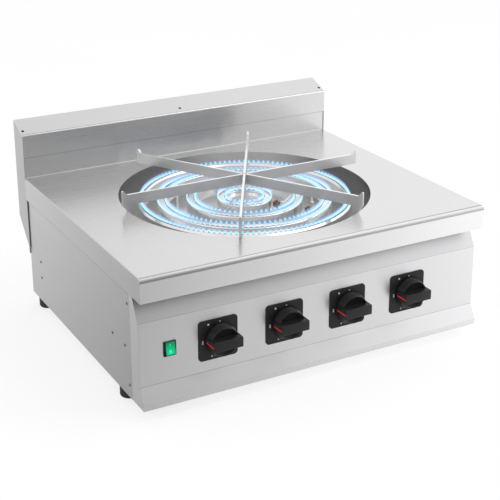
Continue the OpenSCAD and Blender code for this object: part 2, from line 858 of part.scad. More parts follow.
module rounded_square(w, r) {
    translate([r, 0]) square([w - 2 * r, w]);
    translate([0, r]) square([w, w - 2 * r]);
    for (x = [r, w - r], y = [r, w - r]) translate([x, y]) circle(r = r);
}

module knob_plates() {
    color("#181818") place() for (x = knob_x)
        translate([x - plate_shift - plate_w / 2, console_face_y, axis_z - plate_w / 2])
            rotate([90, 0, 0]) linear_extrude(height = plate_t) difference() {
                rounded_square(plate_w, plate_r);
                translate([plate_w / 2 + plate_shift, plate_w / 2]) circle(r = stem_r + 2);
            }
}

// Two pilot burners on posts between the rings
module pilot_burners() {
    s = 6;
    color("darkgray") place() translate([0, burner_y, 0]) for (p = pilot_at) {
        post(p[0], p[1], well_low_z, ring_top_z - 20, stud_r);
        block([p[0] - s, p[1] - s, ring_top_z - 21], [p[0] + s, p[1] + s, ring_top_z - 10]);
        post(p[0], p[1], ring_top_z - 11, ring_top_z - 6, stud_r);
    }
}

// Thermocouple nuts on posts, each with a rod that points at the next ring
module thermocouples() {
    color("goldenrod") place() translate([0, burner_y, 0]) for (i = [0:1]) {
        a = thermo_from[i];
        b = thermo_to[i];
        post(a[0] + 3, a[1] - 6, well_low_z, ring_top_z - 18, 2);
        post(a[0] + 3, a[1] - 6, ring_top_z - 19, ring_top_z - 8, stud_r);
        strut([a[0] + 3, a[1] - 6, ring_top_z - 13], [b[0], b[1], ring_top_z - 4], 1.3);
    }
}

// Ceramic post with a wire that reaches over the first ring
module spark_electrode() {
    color("white") place() translate([0, burner_y, 0]) {
        post(spark_foot[0], spark_foot[1], well_low_z, ring_top_z - 10, 4);
        post(spark_foot[0], spark_foot[1], ring_top_z - 11, ignition_top_z, 1.2);
        strut([spark_foot[0], spark_foot[1], ignition_top_z - 1.2],
            [spark_tip[0], spark_tip[1], ignition_top_z - 1.2], 1.2);
    }
}

module spark_generator() {
    at = [generator_edge - panel_in_x, console_seam_y + generator_set_back, base_top_z];
    top = base_top_z + generator_size[2];
    color("#303030") place() {
        translate(at) cube(generator_size);
        for (i = [0:2]) post(at[0] + generator_size[0] / 2, at[1] + terminal_start + i * terminal_pitch,
            top - skip, top + terminal_h, terminal_r);
    }
}

// Switch housing: bezel on the console, box behind it, open at the front for the rocker
module switch_housing() {
    hw = switch_w / 2 - 1.5;
    hh = switch_h / 2 - 0.6;
    cave_hw = rocker_hw + rocker_clear;
    cave_hh = rocker_hh + 1.3;
    color("#181818") place() translate([-switch_x, 0, switch_z()]) difference() {
        union() {
            block([-switch_w / 2, console_face_y - bezel_t, -switch_h / 2],
                [switch_w / 2, console_face_y, switch_h / 2]);
            block([-hw, console_face_y - skip, -hh], [hw, console_face_y + switch_body_len, hh]);
        }
        block([-cave_hw, console_face_y - bezel_t - skip, -cave_hh],
            [cave_hw, rocker_pivot_y + rocker_back + 3, cave_hh]);
        rod_x(-rocker_hw - switch_pin_len - 0.2, rocker_hw + switch_pin_len + 0.2, rocker_pivot_y, 0,
            switch_pin_r + 0.05);
    }
}

// Rocker with a shallow V front, resting switched on
module switch_rocker() {
    v = rocker_hh * tan(rocker_half);
    color("#0fa060") place() translate([-switch_x, rocker_pivot_y, switch_z()]) rotate([-rocker_half, 0, 0]) {
        along_x(-rocker_hw, rocker_hw) polygon([[-rocker_reach - v, -rocker_hh], [-rocker_reach, 0],
            [-rocker_reach - v, rocker_hh], [-rocker_reach / 2, rocker_hh], [rocker_back, rocker_hh * 0.6],
            [rocker_back, -rocker_hh * 0.6], [-rocker_reach / 2, -rocker_hh]]);
        rod_x(-rocker_hw - switch_pin_len, rocker_hw + switch_pin_len, 0, 0, switch_pin_r);
    }
}

module cable_gland() {
    r = gland_bore / 2;
    color("#202020") place() difference() {
        union() {
            rod_y(-gland_x, top_d - 12, top_d, manifold_z, r + 3.2);
            rod_y(-gland_x, top_d - sheet_t - 4, top_d - sheet_t, manifold_z, r + 6);
            rod_y(-gland_x, top_d, top_d + 5, manifold_z, r + 7);
            rod_y(-gland_x, top_d, top_d + 15, manifold_z, r + 4.5);
        }
        rod_y(-gland_x, top_d - 13, top_d + 16, manifold_z, r);
    }
}

// Rubber foot with a rounded lower edge and a recess for its bolt
module foot() {
    r = foot_r;
    e = foot_edge_r;
    difference() {
        rotate_extrude() {
            translate([0, e]) square([r, foot_h - e]);
            square([r - e, foot_h]);
            intersection() {
                translate([r - e, e]) circle(r = e);
                square([r, foot_h]);
            }
        }
        translate([0, 0, -skip]) cylinder(h = foot_h + 2 * skip, r = foot_bolt_r + foot_bolt_clear);
        translate([0, 0, -skip]) cylinder(h = foot_well_h + skip, r = foot_well_r);
    }
}

// Copies its children to the four foot places
module at_feet() {
    for (x = [-foot_x, foot_x], y = [foot_front_y, foot_rear_y]) translate([x, y, 0]) children();
}

module feet() {
    color("#202020") place() at_feet() foot();
}

module foot_bolts() {
    color("gray") place() at_feet() {
        translate([0, 0, foot_well_h - foot_head_h]) cylinder(h = foot_head_h, r = foot_head_r);
        translate([0, 0, foot_well_h - skip])
            cylinder(h = base_top_z + nut_h - foot_well_h + skip, r = foot_bolt_r);
    }
}

module foot_nuts() {
    color("gray") place() at_feet() translate([0, 0, base_top_z]) difference() {
        cylinder(h = nut_h, r = nut_r, $fn = 6);
        translate([0, 0, -skip]) cylinder(h = nut_h + 2 * skip, r = foot_bolt_r);
    }
}

// Button-head screw along +X, its head outside the panel
module side_screw(y, z) {
    rod_x(-panel_x - screw_seat - screw_head_h, -panel_x - screw_seat, y, z, screw_head_r);
    rod_x(-panel_x - screw_seat - screw_head_h / 2, -panel_in_x + 3 * sheet_t, y, z, screw_r - screw_clear);
}

module side_screws() {
    color("dimgray") place() both_sides() for (p = side_screw_at) side_screw(p[0], p[1]);
}

module rear_screws() {
    seat_y = top_d + sheet_t + screw_seat;
    color("dimgray") place() for (p = rear_screw_at) {
        rod_y(p[0], seat_y, seat_y + screw_head_h, p[1], screw_head_r);
        rod_y(p[0], top_d - 4, seat_y + screw_head_h / 2, p[1], screw_r - screw_clear);
    }
}

// Outline of one arm from its top edge at the centre round to its bottom edge, as (distance, height)
function arm_path(leg) = concat(
    [[0, bar_top], [arm_len - horn_w - horn_run, bar_top], [arm_len - horn_w, bar_top + horn_h - horn_ease],
        [arm_len - horn_w + horn_ease, bar_top + horn_h], [arm_len - horn_ease, bar_top + horn_h],
        [arm_len, bar_top + horn_h - horn_ease]],
    leg ? [[arm_len, bar_low + 3], [shoulder_r, 3], [shoulder_r, 0], [tongue_r, 0],
        [tongue_r, -tongue_drop], [tongue_r - tongue_w, -tongue_drop], [tongue_r - tongue_w, bar_low]]
        : [[arm_len, bar_low]]);

// Both arms of a bar as one closed outline
function bar_outline(leg_a, leg_b) =
    let (a = arm_path(leg_a), b = arm_path(leg_b), last = len(b) - 1)
    concat([for (i = [1:len(a) - 1]) a[i]], [for (i = [0:last - 1]) [-b[last - i][0], b[last - i][1]]]);

// Bar on edge through the centre; the three bars halve into each other by thirds of their height
module support_bar(angle, leg_a, leg_b, level) {
    third = bar_h / 3;
    notch = bar_t * (1 + cos(60)) / (2 * sin(60)) + bar_fit;
    color("lightgray") place() translate([0, burner_y, top_z]) rotate([0, 0, angle]) difference() {
        translate([0, bar_t / 2, 0]) rotate([90, 0, 0]) linear_extrude(height = bar_t)
            polygon(bar_outline(leg_a, leg_b));
        if (level > 0) block([-notch, -bar_t, bar_low - skip], [notch, bar_t, bar_low + level * third]);
        if (level < 2) block([-notch, -bar_t, bar_low + (level + 1) * third], [notch, bar_t, bar_top + skip]);
        cylinder(h = bar_top + skip, r = cross_hole_d / 2);
    }
}

module support_bar_1() {
    support_bar(0, false, true, 0);
}

module support_bar_2() {
    support_bar(120, false, true, 1);
}

module support_bar_3() {
    support_bar(240, true, true, 2);
}

worktop();
flue_cover();
flue_box();
left_side_panel();
right_side_panel();
front_console();
rear_panel();
base_panel();
burner_well();
spill_tray();
burner_frame();
burner_ring(1);  // burner_ring_1
burner_ring(2);  // burner_ring_2
burner_ring(3);  // burner_ring_3
burner_ring(4);  // burner_ring_4
ring_studs();
mixing_tube(1);  // mixing_tube_1
mixing_tube(2);  // mixing_tube_2
mixing_tube(3);  // mixing_tube_3
mixing_tube(4);  // mixing_tube_4
tube_bracket();
injectors();
gas_manifold();
gas_inlet();
valve(0);  // valve_1
valve(1);  // valve_2
valve(2);  // valve_3
valve(3);  // valve_4
valve_stem(0);  // valve_stem_1
valve_stem(1);  // valve_stem_2
valve_stem(2);  // valve_stem_3
valve_stem(3);  // valve_stem_4
push_rod(0);  // push_rod_1
push_rod(1);  // push_rod_2
push_rod(2);  // push_rod_3
push_rod(3);  // push_rod_4
knob(0);  // knob_1
knob(1);  // knob_2
knob(2);  // knob_3
knob(3);  // knob_4
knob_plates();
pilot_burners();
thermocouples();
spark_electrode();
spark_generator();
switch_housing();
switch_rocker();
cable_gland();
feet();
foot_bolts();
foot_nuts();
side_screws();
rear_screws();
support_bar_1();
support_bar_2();
support_bar_3();
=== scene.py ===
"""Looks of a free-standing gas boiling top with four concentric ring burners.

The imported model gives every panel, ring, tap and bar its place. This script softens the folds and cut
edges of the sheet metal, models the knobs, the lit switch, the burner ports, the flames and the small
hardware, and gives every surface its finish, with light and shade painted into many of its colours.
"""

import json
import logging
import math
from dataclasses import dataclass
from enum import Enum
from typing import Callable, Iterable, Optional, Sequence

import bmesh
import bpy
from mathutils import Matrix, Vector

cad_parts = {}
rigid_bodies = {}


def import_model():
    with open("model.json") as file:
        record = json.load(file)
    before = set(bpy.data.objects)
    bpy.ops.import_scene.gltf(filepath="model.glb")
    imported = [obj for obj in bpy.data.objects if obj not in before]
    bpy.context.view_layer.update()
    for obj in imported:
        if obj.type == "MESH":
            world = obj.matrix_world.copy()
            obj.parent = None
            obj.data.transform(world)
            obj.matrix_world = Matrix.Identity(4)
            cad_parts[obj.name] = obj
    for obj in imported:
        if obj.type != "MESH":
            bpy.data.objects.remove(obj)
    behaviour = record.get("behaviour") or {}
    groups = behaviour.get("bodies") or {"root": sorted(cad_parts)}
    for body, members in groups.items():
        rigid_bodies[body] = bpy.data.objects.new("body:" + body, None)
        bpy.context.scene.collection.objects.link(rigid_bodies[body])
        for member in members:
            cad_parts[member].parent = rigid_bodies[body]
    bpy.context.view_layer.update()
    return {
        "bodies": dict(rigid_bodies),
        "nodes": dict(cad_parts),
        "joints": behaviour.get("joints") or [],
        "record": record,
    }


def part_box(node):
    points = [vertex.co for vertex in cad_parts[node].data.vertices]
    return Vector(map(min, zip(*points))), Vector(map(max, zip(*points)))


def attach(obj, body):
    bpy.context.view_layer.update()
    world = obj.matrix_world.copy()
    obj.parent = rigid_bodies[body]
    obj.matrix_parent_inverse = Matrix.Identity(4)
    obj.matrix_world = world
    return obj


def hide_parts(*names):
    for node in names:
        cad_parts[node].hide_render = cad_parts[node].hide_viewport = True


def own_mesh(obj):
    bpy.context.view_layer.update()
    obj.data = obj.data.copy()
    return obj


LOG = logging.getLogger("boiling_top")
ROOT_BODY = "hob_body"
MM = 0.001
MERGE_DISTANCE = 1e-6
TAPS = range(1, 5)
# How far the rings' tops lie under the worktop, in millimetres.
RING_DROP = 12.0
# The values between which most of a noise lies.
NOISE_SPAN = (0.3, 0.7)

Point2 = tuple[float, float]
Colour = tuple[float, float, float]
Material = bpy.types.Material
Piece = bpy.types.Object
Socket = bpy.types.NodeSocket
Face = bpy.types.MeshPolygon


class Axis(Enum):
    """A direction of the object's frame."""

    X = 0
    Y = 1
    Z = 2


class Grain(Enum):
    """Direction that a sheet is brushed in."""

    ALONG_X = 0
    ALONG_Y = 1
    ALONG_Z = 2


class Row(Enum):
    """Which way a row of burner ports faces."""

    INWARD = -1
    UPRIGHT = 0
    OUTWARD = 1


def turn(angle: float) -> Vector:
    """Unit vector in the floor plane at an angle in degrees from +X."""
    return Vector((math.cos(math.radians(angle)), math.sin(math.radians(angle)), 0.0))


def mm(points: Iterable[Point2], a: float = 0.0, b: float = 0.0) -> list[Point2]:
    """Points given in millimetres from the place (a, b), which is in metres."""
    return [(a + first * MM, b + second * MM) for first, second in points]


def rectangle(low: Point2, high: Point2) -> list[Point2]:
    """Four corners from two opposite ones."""
    return [low, (high[0], low[1]), high, (low[0], high[1])]


def tint(colour: Colour, share: float, lift: float = 0.0) -> Colour:
    """Colour made darker or paler by a share, then lifted a little."""
    return tuple(min(1.0, part * share + lift) for part in colour)


def box_middle(node: str) -> list[float]:
    """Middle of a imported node's box."""
    return [(low + high) / 2 for low, high in zip(*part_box(node))]


def linked(name: str, data: bpy.types.ID) -> Piece:
    """Makes an object and links it to the scene.

    Args:
        name: Name of the object.
        data: Its mesh, camera or light.

    Returns:
        The new object.
    """
    piece = bpy.data.objects.new(name, data)
    bpy.context.scene.collection.objects.link(piece)
    return piece


@dataclass(frozen=True)
class Layout:
    """Places that the pieces share, in metres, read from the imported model.

    Attributes:
        half_w: Half of the worktop's width.
        half_body: Half of the console's width.
        front_y: Front edge of the worktop.
        splash_y: Rear end of the side panels, where the flue box starts.
        top_z: Height of the worktop.
        burner: Middle of the burner at the worktop's height.
        knob_x: Places of the knobs from left to right.
        knob_z: Height of the knobs.
        plate_y: Front face of the knob plates.
    """

    half_w: float
    half_body: float
    front_y: float
    splash_y: float
    top_z: float
    burner: Vector
    knob_x: tuple[float, ...]
    knob_z: float
    plate_y: float

    @classmethod
    def from_frame(cls) -> "Layout":
        """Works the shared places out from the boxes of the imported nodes.

        Returns:
            The layout of the model that the frame holds.
        """
        skirt_low, skirt_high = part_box("worktop")
        stems = [box_middle(f"valve_stem_{number}") for number in TAPS]
        top_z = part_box("burner_ring_4")[1][2] + RING_DROP * MM
        return cls(
            half_w=skirt_high[0],
            half_body=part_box("front_console")[1][0],
            front_y=skirt_low[1],
            splash_y=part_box("left_side_panel")[1][1],
            top_z=top_z,
            burner=Vector((0.0, box_middle("spill_tray")[1], top_z)),
            knob_x=tuple(stem[0] for stem in stems),
            knob_z=sum(stem[2] for stem in stems) / len(stems),
            plate_y=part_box("knob_plates")[0][1],
        )

    def at(self, x: float, depth: float, height: float) -> Vector:
        """Point x mm from the middle, depth mm behind the front edge, height mm over the worktop."""
        return Vector((x * MM, self.front_y + depth * MM, self.top_z + height * MM))


class Nodes:
    """Small helper that adds shader nodes to one material, or to the world."""

    def __init__(self, name: str, world: bool = False) -> None:
        """Starts an empty material or world.

        Args:
            name: Name of the material or the world.
            world: Whether it is the world.
        """
        self.owner = bpy.data.worlds.new(name) if world else bpy.data.materials.new(name)
        self.owner.use_nodes = True
        self.tree = self.owner.node_tree
        self.tree.nodes.clear()
        self.output = self.add("OutputWorld" if world else "OutputMaterial")

    def add(self, kind: str, links: Optional[dict] = None, **settings: object) -> bpy.types.Node:
        """Adds a node.

        Args:
            kind: The node's type without the ShaderNode prefix.
            links: Input name to either a value or an output socket.
            settings: Properties of the node.

        Returns:
            The new node.
        """
        node = self.tree.nodes.new("ShaderNode" + kind)
        for key, value in settings.items():
            setattr(node, key, value)
        for key, value in (links or {}).items():
            if isinstance(value, Socket):
                self.tree.links.new(value, node.inputs[key])
            else:
                node.inputs[key].default_value = value
        return node

    def math(self, kind: str, one: Socket, two: Socket) -> Socket:
        """Joins two values with a Math operation."""
        return self.add("Math", {0: one, 1: two}, operation=kind).outputs[0]

    def place(self, scale: Sequence[float]) -> Socket:
        """Object coordinates stretched by a scale on each axis."""
        coords = self.add("TexCoord").outputs["Object"]
        return self.add("Mapping", {"Vector": coords, "Scale": tuple(scale)}).outputs["Vector"]

    def noise(self, scale: Sequence[float], detail: float) -> Socket:
        """Noise over stretched object coordinates.

        Args:
            scale: Steps of the noise per metre on each axis.
            detail: Finer layers in it.

        Returns:
            A value from 0 to 1.
        """
        links = {"Vector": self.place(scale), "Scale": 1.0, "Detail": detail, "Roughness": 0.6}
        return self.add("TexNoise", links).outputs["Fac"]

    def spread(self, source: Socket, low: float, high: float, from_low: float = 0.0,
               from_high: float = 1.0) -> Socket:
        """Maps a value from one range to another, clamped.

        Args:
            source: The value.
            low: What it becomes at the first range's start.
            high: What it becomes at its end.
            from_low: Start of the first range.
            from_high: End of the first range.

        Returns:
            The mapped value.
        """
        links = {"Value": source, "From Min": from_low, "From Max": from_high,
                 "To Min": low, "To Max": high}
        return self.add("MapRange", links).outputs["Result"]

    def ramp(self, source: Socket, stops: Sequence[tuple[float, Colour]]) -> Socket:
        """Colour ramp over a value.

        Args:
            source: The value, from 0 to 1.
            stops: Positions and colours.

        Returns:
            The ramp's colour socket.
        """
        node = self.add("ValToRGB", {"Fac": source})
        elements = node.color_ramp.elements
        while len(elements) < len(stops):
            elements.new(0.5)
        for element, (position, colour) in zip(elements, stops):
            element.position = position
            element.color = (*colour, 1.0)
        return node.outputs["Color"]

    def bump(self, height: Socket, distance: float, strength: float) -> Socket:
        """Normal bent by a height."""
        node = self.add("Bump", {"Height": height, "Distance": distance, "Strength": strength})
        return node.outputs["Normal"]

    def finish(self, shader: Socket) -> bpy.types.ID:
        """Connects the surface and returns the material or the world."""
        self.tree.links.new(shader, self.output.inputs["Surface"])
        return self.owner


@dataclass(frozen=True)
class BrushedSteel:
    """Stainless sheet with a straight brushed grain.

    Attributes:
        name: Name of the material.
        colour: Reflected colour.
        grain: Direction of the brushing.
        roughness: Width of the reflections.
        stretch: How far reflections smear across the grain.
        streak: Contrast of the brushing lines.
        along: Steps of the brushing lines per metre along the grain.
        across: Steps of the brushing lines per metre across the grain.
        cloud: Steps of the soft patches per metre.
        scratch: Depth of the brushing lines in metres.
    """

    name: str
    colour: Colour = (0.72, 0.72, 0.73)
    grain: Grain = Grain.ALONG_X
    roughness: float = 0.3
    stretch: float = 0.6
    streak: float = 0.05
    along: float = 6.0
    across: float = 2600.0
    cloud: float = 5.0
    scratch: float = 0.00002

    def build(self) -> Material:
        """Makes the material.

        Returns:
            The new material.
        """
        fine = [self.across] * 3
        fine[self.grain.value] = self.along
        broad = [self.across / 9] * 3
        broad[self.grain.value] = self.along / 2
        nodes = Nodes(self.name)
        lines = nodes.noise(fine, 3.0)
        bands = nodes.noise(broad, 2.0)
        clouds = nodes.noise([self.cloud] * 3, 2.0)
        both = nodes.math("ADD", lines, bands)
        tone = nodes.spread(nodes.math("ADD", both, clouds), 0.0, 1.0, 1.0, 2.0)
        colour = nodes.ramp(tone, [(0.0, tint(self.colour, 1 - self.streak)),
                                   (1.0, tint(self.colour, 1 + self.streak))])
        rough = nodes.spread(lines, self.roughness - 0.05, self.roughness + 0.07, *NOISE_SPAN)
        tangent = nodes.add("Tangent", direction_type="UV_MAP", uv_map="grain")
        shader = nodes.add(
            "BsdfPrincipled",
            {"Base Color": colour, "Roughness": rough, "Metallic": 1.0,
             "Anisotropic": self.stretch, "Tangent": tangent.outputs["Tangent"],
             "Normal": nodes.bump(both, self.scratch, 0.03)},
        )
        return nodes.finish(shader.outputs[0])


@dataclass(frozen=True)
class SpunSteel:
    """Bright or heat-darkened steel without a straight grain.

    Attributes:
        name: Name of the material.
        colour: Reflected colour.
        roughness: Width of the reflections.
        stain: Darker tint in soft patches.
        stain_share: How much of the surface the patches take.
        metal: How far it is bare metal; less where it is etched matt.
        glow: Strength of its own emission, painted light that stands in for the flames' light round it.
        painted_sheen: Painted highlight: how much more emission it has on the faces that look to the front
            left.
        patch: Steps of the soft patches per metre on each axis.
        speck: Steps of the fine grit per metre on each axis.
        grit: Depth of the grit in metres.
        aside: Angle in radians from the front to the middle of the faces with the painted highlight.
        facing: Where the painted highlight is full and where it ends, as the normal's turned Y.
    """

    name: str
    colour: Colour = (0.82, 0.82, 0.83)
    roughness: float = 0.16
    stain: Colour = (0.55, 0.54, 0.52)
    stain_share: float = 0.35
    metal: float = 1.0
    glow: float = 0.0
    painted_sheen: float = 0.0
    patch: tuple[float, float, float] = (38.0, 38.0, 60.0)
    speck: tuple[float, float, float] = (900.0, 900.0, 2400.0)
    grit: float = 0.00003
    aside: float = 0.5
    facing: tuple[float, float] = (-0.98, -0.78)

    def build(self) -> Material:
        """Makes the material.

        Returns:
            The new material.
        """
        nodes = Nodes(self.name)
        patches = nodes.noise(self.patch, 4.0)
        specks = nodes.noise(self.speck, 2.0)
        edge = 0.75 - 0.5 * self.stain_share
        share = nodes.spread(patches, 0.0, 1.0, edge, edge + 0.2)
        colour = nodes.ramp(share, [(0.0, self.colour), (1.0, self.stain)])
        rough = nodes.spread(specks, self.roughness * 0.7, self.roughness * 1.5, *NOISE_SPAN)
        glow = self.glow
        # Painted highlight: more emission on the faces that look to the front left.
        if self.painted_sheen:
            normal = nodes.add("NewGeometry").outputs["Normal"]
            turned = nodes.add("VectorRotate", {"Vector": normal, "Angle": self.aside},
                               rotation_type="Z_AXIS")
            split = nodes.add("SeparateXYZ", {"Vector": turned.outputs["Vector"]})
            glow = nodes.spread(split.outputs["Y"], self.glow + self.painted_sheen, self.glow, *self.facing)
        shader = nodes.add(
            "BsdfPrincipled",
            {"Base Color": colour, "Roughness": rough, "Metallic": self.metal,
             "Emission Color": colour, "Emission Strength": glow,
             "Normal": nodes.bump(specks, self.grit, 0.3)},
        )
        return nodes.finish(shader.outputs[0])


@dataclass(frozen=True)
class Moulded:
    """Moulded plastic, ceramic or rubber.

    Attributes:
        name: Name of the material.
        colour: Body colour.
        roughness: Width of the reflections.
        grit: Depth of the moulded texture in metres.
        wear: Paler tint in faint patches.
        shine: Strength of its reflections, 0.5 for plain plastic.
    """

    name: str
    colour: Colour
    roughness: float = 0.5
    grit: float = 0.00004
    wear: float = 0.25
    shine: float = 0.5

    def build(self) -> Material:
        """Makes the material.

        Returns:
            The new material.
        """
        nodes = Nodes(self.name)
        grit = nodes.noise((2400.0, 2400.0, 2400.0), 2.0)
        patches = nodes.noise((45.0, 45.0, 45.0), 3.0)
        share = nodes.spread(patches, 0.0, 1.0, 0.35, 0.75)
        colour = nodes.ramp(share, [(0.0, self.colour), (1.0, tint(self.colour, 1 + self.wear, 0.004))])
        rough = nodes.spread(patches, self.roughness - 0.06, self.roughness + 0.06, *NOISE_SPAN)
        shader = nodes.add(
            "BsdfPrincipled",
            {"Base Color": colour, "Roughness": rough, "Specular IOR Level": self.shine,
             "Normal": nodes.bump(grit, self.grit, 0.5)},
        )
        return nodes.finish(shader.outputs[0])


@dataclass(frozen=True)
class Print:
    """Paint or print, a little uneven.

    Attributes:
        name: Name of the material.
        colour: Colour of the paint.
        glow: Strength of its own light: real for the lit switch's marks, painted light on the unlit red
            line.
    """

    name: str
    colour: Colour
    glow: float = 0.0

    def build(self) -> Material:
        """Makes the material.

        Returns:
            The new material.
        """
        nodes = Nodes(self.name)
        patches = nodes.spread(nodes.noise((900.0, 900.0, 900.0), 2.0), 0.0, 1.0, *NOISE_SPAN)
        colour = nodes.ramp(patches, [(0.0, tint(self.colour, 0.88)), (1.0, self.colour)])
        shader = nodes.add(
            "BsdfPrincipled",
            {"Base Color": colour, "Roughness": 0.45, "Emission Color": colour,
             "Emission Strength": self.glow},
        )
        return nodes.finish(shader.outputs[0])


@dataclass(frozen=True)
class LitLens:
    """Green rocker lens with a lamp behind its lower half.

    Attributes:
        name: Name of the material.
        centre: Middle of the lamp in the object's frame.
        reach: Distance over which the lamp's light fades.
    """

    name: str
    centre: Vector
    reach: float

    def build(self) -> Material:
        """Makes the material.

        Returns:
            The new material.
        """
        nodes = Nodes(self.name)
        coords = nodes.add("TexCoord").outputs["Object"]
        away = nodes.add("VectorMath", {0: coords, 1: tuple(self.centre)}, operation="DISTANCE")
        fade = nodes.spread(away.outputs["Value"], 1.0, 0.0, 0.0, self.reach)
        ribs = nodes.spread(nodes.noise((40.0, 40.0, 700.0), 2.0), 0.8, 1.1, *NOISE_SPAN)
        colour = nodes.ramp(
            nodes.math("MULTIPLY", fade, ribs),
            [(0.0, (0.0, 0.17, 0.06)), (0.45, (0.0, 0.42, 0.16)), (0.8, (0.0, 0.68, 0.30)),
             (1.0, (0.04, 0.86, 0.46))],
        )
        shader = nodes.add(
            "BsdfPrincipled",
            {"Base Color": (0.0, 0.05, 0.02, 1.0), "Roughness": 0.3, "Emission Color": colour,
             "Emission Strength": 0.95, "Specular IOR Level": 0.15},
        )
        return nodes.finish(shader.outputs[0])


@dataclass(frozen=True)
class Flame:
    """Gas flame, coloured from its root to its tip by the attribute rise.

    Attributes:
        name: Name of the material.
        root: Colour at the port.
        middle: Colour half way up.
        tip: Colour at the tip.
        strength: Brightness.
        cover: How much the flame hides what lies behind it, at its root.
        edge_on: How much fainter it is where it is seen face on.
        cast: Share of its brightness that lights and mirrors in what is round it.
    """

    name: str
    root: Colour
    middle: Colour
    tip: Colour
    strength: float
    cover: float
    edge_on: float = 0.0
    cast: float = 0.12

    def build(self) -> Material:
        """Makes the material.

        Returns:
            The new material.
        """
        nodes = Nodes(self.name)
        rise = nodes.add("Attribute", attribute_name="rise").outputs["Fac"]
        colour = nodes.ramp(rise, [(0.0, self.root), (0.45, self.middle), (1.0, self.tip)])
        seen = nodes.add("LightPath").outputs["Is Camera Ray"]
        facing = nodes.add("LayerWeight", {"Blend": 0.5}).outputs["Facing"]
        fade = nodes.spread(rise, self.cover, 0.0, 0.3, 1.0)
        edge = nodes.spread(facing, 1.0 - self.edge_on, 1.0, 0.2, 0.75)
        shader = nodes.add(
            "BsdfPrincipled",
            {"Base Color": (0.0, 0.0, 0.0, 1.0), "Roughness": 1.0, "Specular IOR Level": 0.0,
             "Emission Color": colour,
             "Emission Strength": nodes.spread(seen, self.strength * self.cast, self.strength),
             "Alpha": nodes.math("MULTIPLY", fade, edge)},
        )
        return nodes.finish(shader.outputs[0])


